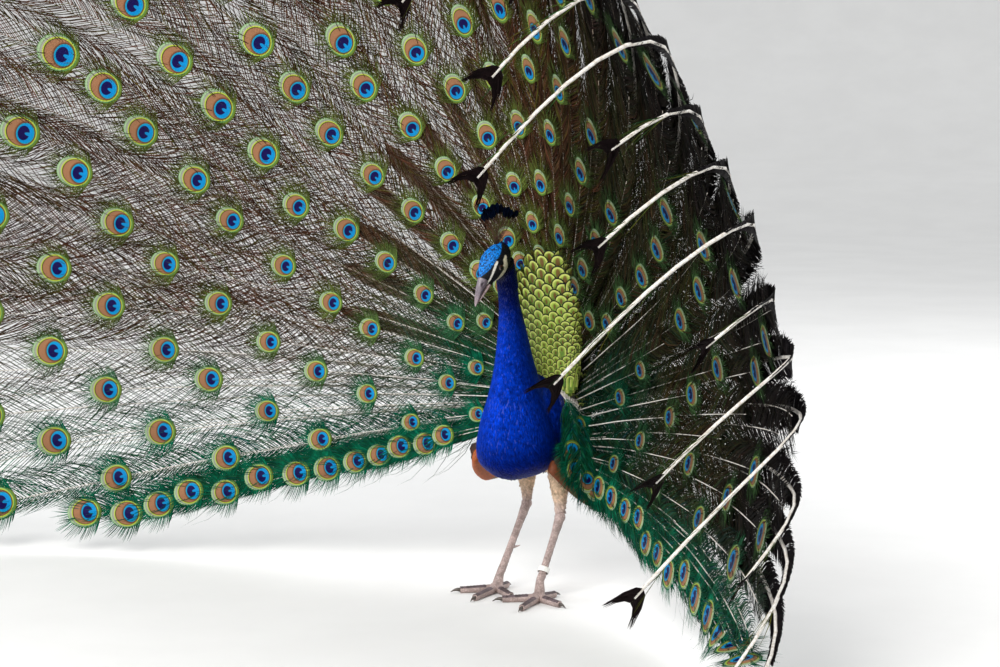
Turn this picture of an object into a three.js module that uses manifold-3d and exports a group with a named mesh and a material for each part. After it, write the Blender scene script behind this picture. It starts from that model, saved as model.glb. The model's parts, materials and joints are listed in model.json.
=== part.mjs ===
import * as THREE from 'three';
import { mergeVertices } from 'three/addons/utils/BufferGeometryUtils.js';
import Module from 'manifold-3d';

const wasm = await Module();
wasm.setup();

// A displaying peacock, life size. Millimetres, +Z up. The bird faces -Y, and
// its left is +X. Sizes below are taken from a point on the floor between the
// feet; the finished group is then moved so that the middle of the left sole
// is the origin.

const GAP = 0.3; // clearance between neighbouring pieces
const LEFT_SOLE = [48, -30];
const RIGHT_SOLE = [-45, 0];

// The head's yaw and pitch, and on it the eye's place, the bill's reach from
// its base to its tip, and the height of the line of the mouth.
const HEAD = { centre: [-5, -69.5, 515.5], yaw: 15, pitch: 50 };
const EYE = { ahead: 9, out: 11.5, below: 5, radius: 7 };
const BILL = { base: 37.3, tip: 76, mouth: 9 };
const CREST = { count: 18, length: 56, spread: 44, tuft: 5.5 };

const BREAST_WIDTH = 122;
// The plane between neck and breast, tilted down towards the front.
const NECK_CUT = { height: 318, y: -18, tilt: 14 };

// The fan is described by an angle in degrees from straight up, positive
// towards the bird's left, and by a distance along each feather's shaft. Its
// shafts start round a ring on the rump, lean forward from a start to an end
// value, and fold over on the left. Each pair runs from the middle of a half
// to its lowest feathers.
const FAN = {
  centre: [15.5, 112, 295],
  turn: 8,
  ring: 50,
  rise: 80,
  leftDrop: 65,
  edge: 104,
  brim: 6,
  tierGap: [5, 4.6],
  startLean: { right: [2, 8], left: [18, 24] },
  endLean: { right: [34, 50], left: [62, 56] },
  leanReach: { right: 1350, left: 1050 },
  fold: { from: 840, to: 1240, turn: [82, 78], drop: [0.35, 1] },
  lastFold: { turn: 34, drop: 1.15 },
  sag: { most: 0.1, reach: 1300 },
  floor: { height: 45, slope: 0.007 },
  foldFrom: -20,
  stations: [0, 240, 480, 720, 960, 1200, 1440],
  foldedStations: [0, 240, 480, 720, 880, 1000, 1100, 1200, 1300, 1400],
};

// The train: for each tier the length of its feathers and how many there are
// in each sector, and the sizes of an eye and of the narrow vane below it.
// Feathers of the first tiers are smaller, down to the least.
const TRAIN = {
  sectors: ['right_low', 'right_mid', 'right_high', 'left_high', 'left_mid', 'left_low'],
  lengths: [170, 310, 460, 620, 780, 940, 1100, 1260, 1380],
  counts: [1, 1, 2, 2, 3, 3, 3, 4, 2],
  margin: 0.06,
  eye: { length: 84, half: 30 },
  vaneHalf: 19,
  least: 0.62,
  fullTier: 5,
  shortTiers: 4,
  quill: 1.6,
  rimHalf: 24,
  apart: 50,
};
const TAIL = { count: 14, length: 430, spread: 74, behind: 4.4, layer: 1.5, half: 19 };
// The rump as a pad of rings behind the middle of the fan.
const PAD = { front: 50, back: 10, margin: 12, axis: 300, sink: 10 };

const vec = (x, y, z) => new THREE.Vector3(x, y, z);
const mix = THREE.MathUtils.lerp;
const smooth = (low, high, x) => THREE.MathUtils.smoothstep(x, low, high);
const radians = THREE.MathUtils.degToRad;

const UP = vec(0, 0, 1);
const FORWARD = vec(-Math.sin(radians(FAN.turn)), -Math.cos(radians(FAN.turn)), 0);
const LEFTWARD = vec(Math.cos(radians(FAN.turn)), -Math.sin(radians(FAN.turn)), 0);

function makeRandom(seed) {
  let state = seed;
  return (low, high) => {
    state = (state * 16807) % 2147483647;
    return low + ((high - low) * state) / 2147483647;
  };
}

const random = makeRandom(4711);

// ---- solids -------------------------------------------------------------

// Turns a closed geometry into a solid, with its faces pointing out.
function toSolid(geometry) {
  geometry.deleteAttribute('normal');
  geometry.deleteAttribute('uv');
  const merged = mergeVertices(geometry, 1e-4);
  const spots = merged.attributes.position.array;
  const corners = [];
  const index = merged.index.array;
  for (let i = 0; i < index.length; i += 3) {
    const [a, b, c] = [index[i], index[i + 1], index[i + 2]];
    if (a !== b && b !== c && c !== a) corners.push([a, b, c]);
  }
  const point = (i) => vec(spots[3 * i], spots[3 * i + 1], spots[3 * i + 2]);
  let volume = 0;
  for (const [a, b, c] of corners) volume += point(a).dot(point(b).cross(point(c)));
  const order = volume < 0 ? corners.map(([a, b, c]) => [a, c, b]) : corners;
  return new wasm.Manifold(new wasm.Mesh({
    numProp: 3,
    vertProperties: new Float32Array(spots),
    triVerts: new Uint32Array(order.flat()),
  }));
}

// A closed cylinder whose every vertex is moved by place(t, x, z): t runs
// from 0 to 1 along it, and x and z lie on the unit circle, or at its middle.
function shaped(sides, steps, place) {
  const geometry = new THREE.CylinderGeometry(1, 1, 1, sides, steps);
  const spots = geometry.attributes.position;
  for (let i = 0; i < spots.count; i += 1) {
    const spot = place(spots.getY(i) + 0.5, spots.getX(i), spots.getZ(i));
    spots.setXYZ(i, spot.x, spot.y, spot.z);
  }
  return toSolid(geometry);
}

const fuse = (solids) => solids.reduce((whole, next) => whole.add(next));

function largest(solid) {
  const pieces = solid.decompose();
  return pieces.reduce((best, next) => (next.volume() > best.volume() ? next : best));
}

// A smooth body along a line of rings. Each ring is [x, y, z, across, deep]:
// its middle, half its width along side, and half its depth the other way.
function loft(rings, side, sides, steps, grow = 0) {
  const line = new THREE.CatmullRomCurve3(rings.map(([x, y, z]) => vec(x, y, z)), false, 'centripetal');
  const width = new THREE.CatmullRomCurve3(rings.map(([, , , w, d]) => vec(w, d, 0)), false, 'centripetal');
  return shaped(sides, steps, (t, x, z) => {
    const along = line.getTangent(t);
    const across = side.clone().addScaledVector(along, -side.dot(along)).normalize();
    const deep = vec(0, 0, 0).crossVectors(across, along);
    const size = width.getPoint(t);
    return line.getPoint(t)
      .addScaledVector(across, x * (size.x + grow))
      .addScaledVector(deep, z * (size.y + grow));
  });
}

// A box from a corner to a corner, in a frame given by three directions.
function block(origin, axes, low, high) {
  const size = vec(...high).sub(vec(...low));
  const middle = vec(...high).add(vec(...low)).multiplyScalar(0.5);
  const geometry = new THREE.BoxGeometry(size.x, size.y, size.z);
  geometry.translate(middle.x, middle.y, middle.z);
  geometry.applyMatrix4(new THREE.Matrix4().makeBasis(...axes).setPosition(origin));
  return toSolid(geometry);
}

function ball(centre, sizes, matrix, around = 14, down = 10) {
  const geometry = new THREE.SphereGeometry(1, around, down);
  geometry.scale(...sizes);
  geometry.translate(...centre);
  if (matrix) geometry.applyMatrix4(matrix);
  return toSolid(geometry);
}

// ---- the bird as a group of named pieces ----------------------------------

const bird = new THREE.Group();
bird.name = 'peacock';
bird.position.set(-LEFT_SOLE[0], -LEFT_SOLE[1], 0);

const finish = (color, roughness, metalness = 0) => ({ color, roughness, metalness });
const BLUE = finish(0x10309c, 0.55, 0.2);
const FACE = finish(0x0f2c86, 0.6, 0.1);
const HORN = finish(0x8c857c, 0.45);
const IRIS = finish(0x2a1609, 0.1);
const GOLD_GREEN = finish(0x7f8f3a, 0.5, 0.3);
const TRAIN_GREEN = finish(0x4c5a33, 0.6, 0.2);
const TAIL_BROWN = finish(0x6a5140, 0.75);
const CHESTNUT = finish(0x9a5c33, 0.7);
const DOWN_DARK = finish(0x2c2925, 0.85);
const BUFF = finish(0xb9a58a, 0.85);
const SHANK = finish(0x8b7c74, 0.6);
const CLAW = finish(0x4a443e, 0.4);
const RING_WHITE = finish(0xe9e9e6, 0.35);

function addPiece(name, solid, look) {
  const { vertProperties, triVerts } = largest(solid).getMesh();
  const geometry = new THREE.BufferGeometry();
  geometry.setAttribute('position', new THREE.BufferAttribute(vertProperties, 3));
  geometry.setIndex(new THREE.BufferAttribute(triVerts, 1));
  const piece = new THREE.Mesh(geometry, new THREE.MeshStandardMaterial(look));
  piece.name = name;
  bird.add(piece);
}

// ---- the fan's feathers -----------------------------------------------------

function fanPoint(across, behind, height) {
  return vec(FAN.centre[0], FAN.centre[1], 0)
    .addScaledVector(LEFTWARD, across)
    .addScaledVector(FORWARD, -behind)
    .setZ(height);
}

// Where a feather at this angle leaves the rump, in the rearmost tier.
function fanRoot(degrees) {
  const angle = radians(degrees);
  const height = FAN.centre[2] + (FAN.ring + FAN.rise) * Math.cos(angle)
    - FAN.leftDrop * smooth(40, 100, degrees);
  return fanPoint(FAN.ring * Math.sin(angle), 0, height);
}

// The line of a shaft: out from the rump, leaning forward more and more, and
// folded over towards the front at the end of the long ones on the left. It
// is kept at stations, which are the same for every tier, so that feathers of
// neighbouring tiers keep apart.
function fanLine(degrees, stations) {
  const step = 20;
  const angle = radians(degrees);
  const side = Math.sin(angle);
  const out = UP.clone().multiplyScalar(Math.cos(angle)).addScaledVector(LEFTWARD, side);
  const left = smooth(-25, 45, degrees);
  const low = smooth(45, 100, degrees);
  const far = smooth(0, 90, -degrees);
  const base = smooth(78, 106, degrees);
  const startLean = mix(mix(...FAN.startLean.right, far), mix(...FAN.startLean.left, base), left);
  const endLean = mix(mix(...FAN.endLean.right, far), mix(...FAN.endLean.left, low), left);
  const leanReach = mix(FAN.leanReach.right, FAN.leanReach.left, left);
  const foldTurn = mix(mix(...FAN.fold.turn, low), FAN.lastFold.turn, base);
  const foldDrop = mix(mix(...FAN.fold.drop, low), FAN.lastFold.drop, base);
  const { sag, floor } = FAN;
  const spot = fanRoot(degrees);
  const line = [];
  for (let s = 0; s <= stations.at(-1); s += step) {
    const fold = left * smooth(FAN.fold.from, FAN.fold.to, s);
    const lean = mix(startLean, endLean, Math.min(1, s / leanReach)) + foldTurn * fold;
    const along = out.clone().multiplyScalar(Math.cos(radians(lean)))
      .addScaledVector(FORWARD, Math.sin(radians(lean)));
    const held = low * left * (1 - smooth(0.46, 0.77, s / sag.reach));
    along.z += sag.most * (held - (Math.abs(side) * s) / sag.reach) - foldDrop * fold;
    along.normalize();
    const steepest = -(spot.z - floor.height) * floor.slope;
    if (along.z < steepest) along.setZ(steepest).normalize();
    if (stations.includes(s)) line.push({ point: spot.clone(), along });
    spot.addScaledVector(along, step);
  }
  return line;
}

const fanStations = (degrees) => (degrees > FAN.foldFrom ? FAN.foldedStations : FAN.stations);

// The course of a feather of a tier, with its vane in the surface of the fan.
function fanCourse(degrees, tier) {
  const stations = fanStations(degrees);
  const [before, line, after] = [degrees - 1, degrees, degrees + 1]
    .map((angle) => fanLine(angle, stations));
  const around = UP.clone().multiplyScalar(-Math.sin(radians(degrees)))
    .addScaledVector(LEFTWARD, Math.cos(radians(degrees)));
  const course = line.map(({ point, along }, i) => {
    const across = i === 0 ? around : after[i].point.clone().sub(before[i].point);
    across.addScaledVector(along, -across.dot(along)).normalize();
    const back = vec(0, 0, 0).crossVectors(along, across);
    const lift = tier * mix(...FAN.tierGap, stations[i] / FAN.sag.reach);
    return { point: point.addScaledVector(back, -lift), across, back };
  });
  const inward = fanPoint(0, 0, PAD.axis).sub(fanRoot(degrees)).setLength(1);
  return (s) => {
    if (s < 0) {
      return { ...course[0], point: course[0].point.clone().addScaledVector(inward, -s) };
    }
    const i = Math.min(stations.findLastIndex((station) => station <= s), course.length - 2);
    const part = (s - stations[i]) / (stations[i + 1] - stations[i]);
    const [a, b] = [course[i], course[i + 1]];
    return {
      point: a.point.clone().lerp(b.point, part),
      across: a.across.clone().lerp(b.across, part).normalize(),
      back: a.back.clone().lerp(b.back, part).normalize(),
    };
  };
}

// ---- vanes --------------------------------------------------------------------

// A long thin solid of triangular section along a course. Each ring is
// [distance along it, half width, thickness], with the ridge at the back.
function vane(course, rings) {
  const halfUnit = Math.sin(radians(120));
  return shaped(3, rings.length - 1, (t, x, z) => {
    const [distance, half, thick] = rings[Math.round(t * (rings.length - 1))];
    const { point, across, back } = course(distance);
    return point.clone()
      .addScaledVector(across, (x * half) / halfUnit)
      .addScaledVector(back, (z * thick) / 1.5);
  });
}

// A straight course from a root.
function straightCourse(root, along, across) {
  const heading = along.clone().normalize();
  const sideways = across.clone().addScaledVector(heading, -across.dot(heading)).normalize();
  const back = vec(0, 0, 0).crossVectors(heading, sideways);
  return (distance) => ({
    point: root.clone().addScaledVector(heading, distance),
    across: sideways,
    back,
  });
}

// A train feather: a bare quill, a narrow vane, and the broad eye at its end,
// or a flared end with no eye on those of the outermost tier.
function trainFeather([degrees, tier, reach], clear = { side: 0, deep: 0 }) {
  const { eye, vaneHalf, quill, rimHalf } = TRAIN;
  const size = mix(TRAIN.least, 1, Math.min(1, tier / TRAIN.fullTier));
  const last = tier === TRAIN.lengths.length - 1;
  const rings = [[-PAD.sink, quill, 2 * quill]];
  const neckAt = reach - eye.length * size;
  const stations = fanStations(degrees).filter((s) => s > 0 && s < neckAt - TRAIN.apart);
  for (const s of stations) {
    rings.push([s, vaneHalf * size * smooth(0, 0.7, s / neckAt) + quill, 2.2]);
  }
  rings.push([neckAt, vaneHalf * size, 1.9]);
  if (last) {
    rings.push([reach - 20, rimHalf, 1.4], [reach, rimHalf * 1.15, 0.8]);
  } else {
    const [long, half] = [eye.length * size, eye.half * size];
    rings.push([reach - 0.68 * long, half * 0.88, 1.7]);
    rings.push([reach - 0.28 * long, half, 1.5], [reach, half * 0.3, 0.7]);
  }
  const grown = rings.map(([s, half, thick]) => [s, half + clear.side, thick + clear.deep]);
  return vane(fanCourse(degrees, TRAIN.lengths.length - 1 - tier), grown);
}

// ---- rump -------------------------------------------------------------------

// The outline of the rump, seen from the front: round the roots of the fan,
// and closed below by the vent.
const RUMP_OUTLINE = [];
for (let degrees = -FAN.edge; degrees <= FAN.edge; degrees += 16) {
  const out = vec(0, 0, 0).addScaledVector(UP, Math.cos(radians(degrees)))
    .addScaledVector(LEFTWARD, Math.sin(radians(degrees)));
  const spot = fanRoot(degrees).addScaledVector(out, PAD.margin);
  RUMP_OUTLINE.push([spot.sub(fanPoint(0, 0, 0)).dot(LEFTWARD), spot.z]);
}
RUMP_OUTLINE.push([44, 184], [10, 178], [-26, 184], [-50, 212]);

function rump(rings, grow = 0) {
  const count = RUMP_OUTLINE.length;
  return shaped(count, rings.length - 1, (t, x, z) => {
    const [behind, scale] = rings[Math.round(t * (rings.length - 1))];
    if (Math.hypot(x, z) < 0.5) return fanPoint(0, behind, PAD.axis);
    const turn = Math.round((Math.atan2(x, z) / (2 * Math.PI)) * count + count) % count;
    const [across, height] = RUMP_OUTLINE[turn];
    const reach = 1 + grow / Math.hypot(across, height - PAD.axis);
    return fanPoint(across * scale * reach, behind, mix(PAD.axis, height, scale * reach));
  });
}

// A border of a wedge of the rump: from the root of a feather at this angle
// out along it, moved sideways by half the gap.
function wedgeBorder(degrees, shift) {
  const angle = radians(degrees);
  const spot = fanRoot(degrees).sub(fanPoint(0, 0, 0));
  const start = [
    spot.dot(LEFTWARD) + shift * Math.cos(angle),
    spot.z - PAD.axis - shift * Math.sin(angle),
  ];
  const far = 90;
  return [start, [start[0] + far * Math.sin(angle), start[1] + far * Math.cos(angle)]];
}

// A wedge between two angles of the fan, with corners beyond the rump.
function wedge(from, to, beyond) {
  const [near, nearEnd] = wedgeBorder(from, GAP / 2);
  const [far, farEnd] = wedgeBorder(to, -GAP / 2);
  const middle = vec(near[0] + far[0], near[1] + far[1], 0).setLength(GAP);
  const shape = new THREE.Shape([[middle.x, middle.y], near, nearEnd, ...beyond, farEnd, far]
    .map(([x, y]) => new THREE.Vector2(x, y)));
  const geometry = new THREE.ExtrudeGeometry(shape, { depth: 200, bevelEnabled: false });
  const place = new THREE.Matrix4().makeBasis(LEFTWARD, UP, FORWARD);
  place.setPosition(fanPoint(0, 100, PAD.axis));
  geometry.applyMatrix4(place);
  return toSolid(geometry);
}

// The short feathers that lean against the back.
const besideBack = [];

const PAD_RINGS = [[-PAD.front, 0.96], [-PAD.front + 8, 1], [0, 1], [PAD.back, 0.86]];

function trainSector(name, sector) {
  const width = (2 * FAN.edge) / TRAIN.sectors.length;
  const from = -FAN.edge + sector * width;
  const first = sector === 0 ? from - FAN.brim : from;
  const last = from + width + (sector === TRAIN.sectors.length - 1 ? FAN.brim : 0);
  const beyond = wedgeBorder((first + last) / 2, 0).slice(1);
  const pieces = [rump(PAD_RINGS).intersect(wedge(first, last, beyond))];
  TRAIN.lengths.forEach((length, tier) => {
    const count = TRAIN.counts[tier];
    const stagger = tier % 2 ? 0.25 : -0.25;
    for (let i = 0; i < count; i += 1) {
      const part = mix(TRAIN.margin, 1 - TRAIN.margin, (i + 0.5 + stagger) / count);
      const degrees = from + part * width + random(-0.5, 0.5);
      const feather = [degrees, tier, length * random(0.985, 1.015)];
      pieces.push(trainFeather(feather));
      if (tier < TRAIN.shortTiers && degrees > FAN.foldFrom) besideBack.push(feather);
    }
  });
  addPiece(`train_${name}`, fuse(pieces), TRAIN_GREEN);
}

function vent() {
  const below = [[200, -200], [-200, -200]];
  const place = wedge(FAN.edge + FAN.brim, -FAN.edge - FAN.brim, below);
  addPiece('vent', rump(PAD_RINGS).intersect(place), DOWN_DARK);
}

// Stiff feathers that stand behind the train and hold it up.
function tail() {
  const start = PAD.back + GAP;
  const pad = rump([[start, 0.86], [start + 16, 0.8], [start + 26, 0.62]]);
  const axes = [LEFTWARD, UP, FORWARD];
  const pieces = [pad.intersect(block(fanPoint(0, 0, 0), axes, [-200, 240, -80], [200, 600, 0]))];
  for (let i = 0; i < TAIL.count; i += 1) {
    const degrees = mix(-TAIL.spread, TAIL.spread, i / (TAIL.count - 1));
    const reach = TAIL.length * (1 - 0.12 * (degrees / TAIL.spread) ** 2);
    const course = fanCourse(degrees, -TAIL.behind - TAIL.layer * (i % 2));
    pieces.push(vane(course, [
      [-24, 2.6, 3], [0.7 * reach, TAIL.half, 1.8],
      [0.95 * reach, TAIL.half * 0.8, 1.2], [reach, 5, 0.7],
    ]));
  }
  addPiece('tail', fuse(pieces), TAIL_BROWN);
}

// ---- neck, breast and back --------------------------------------------------

const TRUNK_RINGS = [
  [0, -16, 184, 0.16, 22], [0, -16, 190, 0.6, 48], [0, -15, 208, 0.94, 66], [0, -14, 236, 1, 70],
  [0, -16, 272, 0.88, 64], [0, -18, 310, 0.68, 52], [0, -22, 355, 0.49, 40],
  [-1, -27, 408, 0.36, 29], [-1, -35, 450, 0.285, 21], [-1, -42, 485, 0.262, 19],
  [-2, -48, 512, 0.24, 18],
].map(([x, y, z, part, deep]) => [x, y, z, (part * BREAST_WIDTH) / 2, deep]);

function trunk(grow = 0) {
  const front = loft(TRUNK_RINGS, vec(1, 0, 0), 16, 12, grow);
  const rear = loft([-132, -110, -80, -50].map((behind, i) => {
    const spot = fanPoint(-6, behind - GAP, 262);
    return [spot.x, spot.y, spot.z, [40, 54, 59, 58][i], [52, 72, 78, 76][i]];
  }), vec(1, 0, 0), 14, 4, grow);
  return front.add(rear);
}

// The upright patch of the back before the rump, its tiled feathers, and the
// grooves that the train's short feathers lie in.
const BACK = { middle: 4, behind: 8, groove: { side: 4.5, deep: 4.2 } };
const SCALES = { first: 314, step: 20, rows: 9, wide: 20, long: 30, tilt: 12, reach: 0.9, sink: 1 };
const BACK_RINGS = [
  [306, 34, 14], [322, 50, 20], [370, 55, 22], [420, 54, 21], [462, 46, 17], [490, 31, 12], [504, 12, 7],
];

// The space in front of the rump, from this far off it.
function beforeRump(gap) {
  return block(fanPoint(0, -PAD.front - gap, 0), [LEFTWARD, UP, FORWARD], [-200, 0, 0], [200, 900, 300]);
}

function backCore(grow = 0) {
  const rings = BACK_RINGS.map(([height, wide, deep]) => {
    const spot = fanPoint(BACK.middle, -PAD.front - BACK.behind, height);
    return [spot.x, spot.y, spot.z, wide, deep];
  });
  const core = loft(rings, LEFTWARD, 10, 6, grow);
  return core.intersect(beforeRump(GAP - grow));
}

// Rounded feathers that lie over the back like tiles, with their tips up.
function backScales() {
  const pieces = [];
  const { first, step, rows, wide, long, tilt } = SCALES;
  const stand = radians(tilt);
  for (let row = 0; row < rows; row += 1) {
    const height = first + row * step;
    const next = BACK_RINGS.findIndex(([z]) => z >= height);
    const [a, b] = [BACK_RINGS[next - 1], BACK_RINGS[next]];
    const part = (height - a[0]) / (b[0] - a[0]);
    const [half, deep] = [mix(a[1], b[1], part), mix(a[2], b[2], part)];
    const count = Math.max(2, Math.round((2 * half) / wide) - (row % 2));
    for (let i = 0; i < count; i += 1) {
      const x = SCALES.reach * ((2 * (i + 0.5)) / count - 1);
      const y = Math.sqrt(1 - x * x);
      const out = vec(0, 0, 0).addScaledVector(LEFTWARD, x * deep)
        .addScaledVector(FORWARD, y * half).normalize();
      const spot = fanPoint(BACK.middle, -PAD.front - BACK.behind, height)
        .addScaledVector(LEFTWARD, x * half)
        .addScaledVector(FORWARD, y * deep - SCALES.sink);
      const along = UP.clone().multiplyScalar(Math.cos(stand)).addScaledVector(out, Math.sin(stand));
      const across = vec(0, 0, 0).crossVectors(UP, out);
      const broad = (SCALES.reach * half) / count;
      pieces.push(vane(straightCourse(spot, along, across), [
        [-4, broad * 0.5, 2], [0.55 * long, broad * 0.94, 1.6], [long, broad * 0.5, 0.9],
      ]));
    }
  }
  const scales = fuse(pieces).subtract(trunk(GAP)).intersect(beforeRump(GAP));
  const grooves = fuse(besideBack.map((feather) => trainFeather(feather, BACK.groove)));
  addPiece('back_scales', scales.add(backCore()).subtract(grooves), GOLD_GREEN);
}

const NECK_AXES = (() => {
  const tilt = radians(NECK_CUT.tilt);
  const up = vec(0, Math.sin(tilt), Math.cos(tilt));
  return [vec(1, 0, 0), vec(0, Math.cos(tilt), -Math.sin(tilt)), up];
})();

// ---- head -------------------------------------------------------------------

const headMatrix = (() => {
  const yaw = radians(HEAD.yaw);
  const pitch = radians(HEAD.pitch);
  const ahead = vec(-Math.sin(yaw) * Math.cos(pitch), -Math.cos(yaw) * Math.cos(pitch), -Math.sin(pitch));
  const left = vec(Math.cos(yaw), -Math.sin(yaw), 0);
  const up = vec(0, 0, 0).crossVectors(ahead, left);
  const matrix = new THREE.Matrix4().makeBasis(left, ahead.clone().negate(), up);
  return matrix.setPosition(...HEAD.centre);
})();
const inHead = (x, y, z) => vec(x, y, z).applyMatrix4(headMatrix);
const headLeft = vec(1, 0, 0).transformDirection(headMatrix);
const HEAD_AXES = [0, 1, 2].map((column) => vec(0, 0, 0).setFromMatrixColumn(headMatrix, column));

const SKULL_RINGS = [
  [29, -2, 6, 8], [24, -1, 13, 17], [12, 0, 17.5, 24], [0, 0, 19, 26], [-12, -1, 18, 24.5],
  [-22, -2, 14.5, 20.5], [-31, -3, 10.5, 15.5], [-37, -3.5, 8, 12.4],
];

function skull() {
  const rings = SKULL_RINGS.map(([y, z, wide, high]) => [...inHead(0, y, z).toArray(), wide, high]);
  const behindBill = block(inHead(0, 0, 0), HEAD_AXES, [-60, GAP - BILL.base, -60], [60, 60, 60]);
  return loft(rings, headLeft, 14, 8).intersect(behindBill);
}

const eyeSpot = (side) => [side * EYE.out, -EYE.ahead, -EYE.below];

function crown(grow = 0) {
  return ball([0, 20, 17], [8 + grow, 11 + grow, 7 + grow], headMatrix, 10, 6);
}

function head() {
  const socket = (side) => ball(eyeSpot(side), Array(3).fill(EYE.radius + GAP), headMatrix, 10, 7);
  const lid = (side) => ball(
    [side * (EYE.out + 1.4), -EYE.ahead, -EYE.below], [6.3, 8.6, 7.6], headMatrix, 10, 6,
  );
  const bore = (side) => ball(
    [side * (EYE.out + 7.5), -EYE.ahead, -EYE.below], [6.4, 6.2, 5], headMatrix, 10, 6,
  );
  let solid = skull().add(lid(1)).add(lid(-1));
  for (const side of [1, -1]) solid = solid.subtract(socket(side)).subtract(bore(side));
  const gapeLow = [-14, -BILL.base - 2, -0.4];
  const gape = block(inHead(0, 0, -BILL.mouth), HEAD_AXES, gapeLow, [14, 10 - BILL.base, 0.4]);
  solid = solid.subtract(gape).subtract(crown(GAP)).subtract(trunk(GAP));
  addPiece('head', solid, FACE);
  addPiece('eye_left', ball(eyeSpot(1), Array(3).fill(EYE.radius), headMatrix, 10, 7), IRIS);
  addPiece('eye_right', ball(eyeSpot(-1), Array(3).fill(EYE.radius), headMatrix, 10, 7), IRIS);
}

// Each ring of the bill is [distance ahead, top, bottom, half width].
const BILL_UPPER = [
  [37.3, 8.6, -8.6, 7.4], [42, 7, -8.9, 7], [50, 3.6, -9.5, 6.2], [58, -0.6, -10.3, 5.2],
  [66, -5.4, -11.3, 3.9], [72, -9.6, -12.4, 2.5], [76, -13, -14.2, 0.8],
];
const BILL_LOWER = [
  [37.3, -8.9, -15.6, 6.6], [46, -9.5, -15.3, 5.8], [56, -10.4, -14.8, 4.6],
  [64, -11.3, -14.3, 3.2], [70, -12.5, -13.9, 1.2],
];

function billPart(rings, sides) {
  return shaped(sides, rings.length - 1, (t, x, z) => {
    const [ahead, top, bottom, wide] = rings[Math.round(t * (rings.length - 1))];
    return inHead(x * wide, -ahead, mix(bottom, top, (z + 1) / 2));
  });
}

function bill() {
  const nostril = (side) => ball([side * 7, -44.5, 0.5], [3, 3.6, 1.3], headMatrix, 8, 6);
  const upper = billPart(BILL_UPPER, 10).subtract(nostril(1)).subtract(nostril(-1));
  addPiece('bill_upper', upper, HORN);
  addPiece('bill_lower', billPart(BILL_LOWER, 8), HORN);
}

// Each crest feather is a bare shaft with a small fan at its tip.
function crest() {
  const pieces = [crown()];
  const flat = vec(headLeft.x, headLeft.y, 0).normalize();
  const ahead = vec(0, 0, 0).crossVectors(flat, UP);
  for (let i = 0; i < CREST.count; i += 1) {
    const turn = radians(mix(-CREST.spread, CREST.spread, i / (CREST.count - 1)));
    const along = UP.clone().multiplyScalar(Math.cos(turn)).addScaledVector(ahead, Math.sin(turn))
      .addScaledVector(flat, 0.035 * ((i % 3) - 1));
    const root = inHead(1.6 * ((i % 3) - 1), 20 - 5 * Math.sin(turn), 20);
    const reach = CREST.length * random(0.95, 1.03);
    const { tuft } = CREST;
    pieces.push(vane(straightCourse(root, along, along.clone().cross(flat)), [
      [0, 0.55, 1.1], [reach - 13, 0.5, 1], [reach - 5, tuft, 0.9], [reach, tuft * 0.6, 0.6],
    ]));
  }
  addPiece('crest', fuse(pieces), BLUE);
}

const bodyGrown = trunk(GAP).add(rump(PAD_RINGS, GAP));

// ---- wings ------------------------------------------------------------------

// A drooped, folded wing: an arm of rings [x, y, z, half thickness, half
// width], and feathers in tiers that lie along it and trail behind.
const WING = {
  left: [
    [64, -22, 206, 6, 12], [78, 14, 182, 10, 20], [88, 56, 150, 8, 16], [97, 104, 134, 5, 9],
  ],
  right: [
    [-64, -30, 214, 6, 12], [-80, 4, 198, 10, 20], [-93, 52, 180, 8, 20], [-96, 98, 182, 5, 12],
  ],
  flare: 0.1,
  slope: { left: -0.2, right: 0.02 },
  inmost: -5,
  layer: 1.9,
};
// Each tier is [count, first and last place on the arm, length, half width,
// first and last rise across the arm, first and last turn upwards in degrees].
const WING_TIERS = [
  [6, [0.5, 0.85], 175, 12, [-4, 4], [-7, 6]],
  [5, [0.3, 0.66], 112, 14, [0, 11], [1, 9]],
  [4, [0.2, 0.6], 66, 14, [-6, 9], [-4, 6]],
  [3, [0.1, 0.4], 44, 13, [-8, 11], [-6, 6]],
];

function wing(side, sign) {
  const line = WING[side];
  const arm = loft(line, vec(1, 0, 0), 8, 4);
  const path = new THREE.CatmullRomCurve3(line.map(([x, y, z]) => vec(x, y, z)), false, 'centripetal');
  const tailward = vec(sign * WING.flare, 1, WING.slope[side]).normalize();
  const out = vec(sign, 0, 0).addScaledVector(tailward, -sign * tailward.x).normalize();
  const up = vec(0, 0, 0).crossVectors(out, tailward).multiplyScalar(sign);
  const pieces = [arm];
  WING_TIERS.forEach(([count, places, long, half, rises, turns], tier) => {
    for (let i = 0; i < count; i += 1) {
      const part = i / (count - 1);
      const turn = radians(mix(...turns, part));
      const along = tailward.clone().multiplyScalar(Math.cos(turn)).addScaledVector(up, Math.sin(turn));
      const place = path.getPoint(mix(...places, 1 - part));
      const root = place.addScaledVector(up, mix(...rises, part))
        .addScaledVector(out, WING.inmost + WING.layer * (2 * tier + (i % 2)));
      pieces.push(vane(straightCourse(root, along, up), [
        [-6, half * 0.5, 1.5], [0.7 * long, half, 1.3], [long, half * 0.5, 0.7],
      ]));
    }
  });
  addPiece(`wing_${side}`, fuse(pieces).subtract(bodyGrown), CHESTNUT);
}

// ---- legs and feet ----------------------------------------------------------

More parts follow.
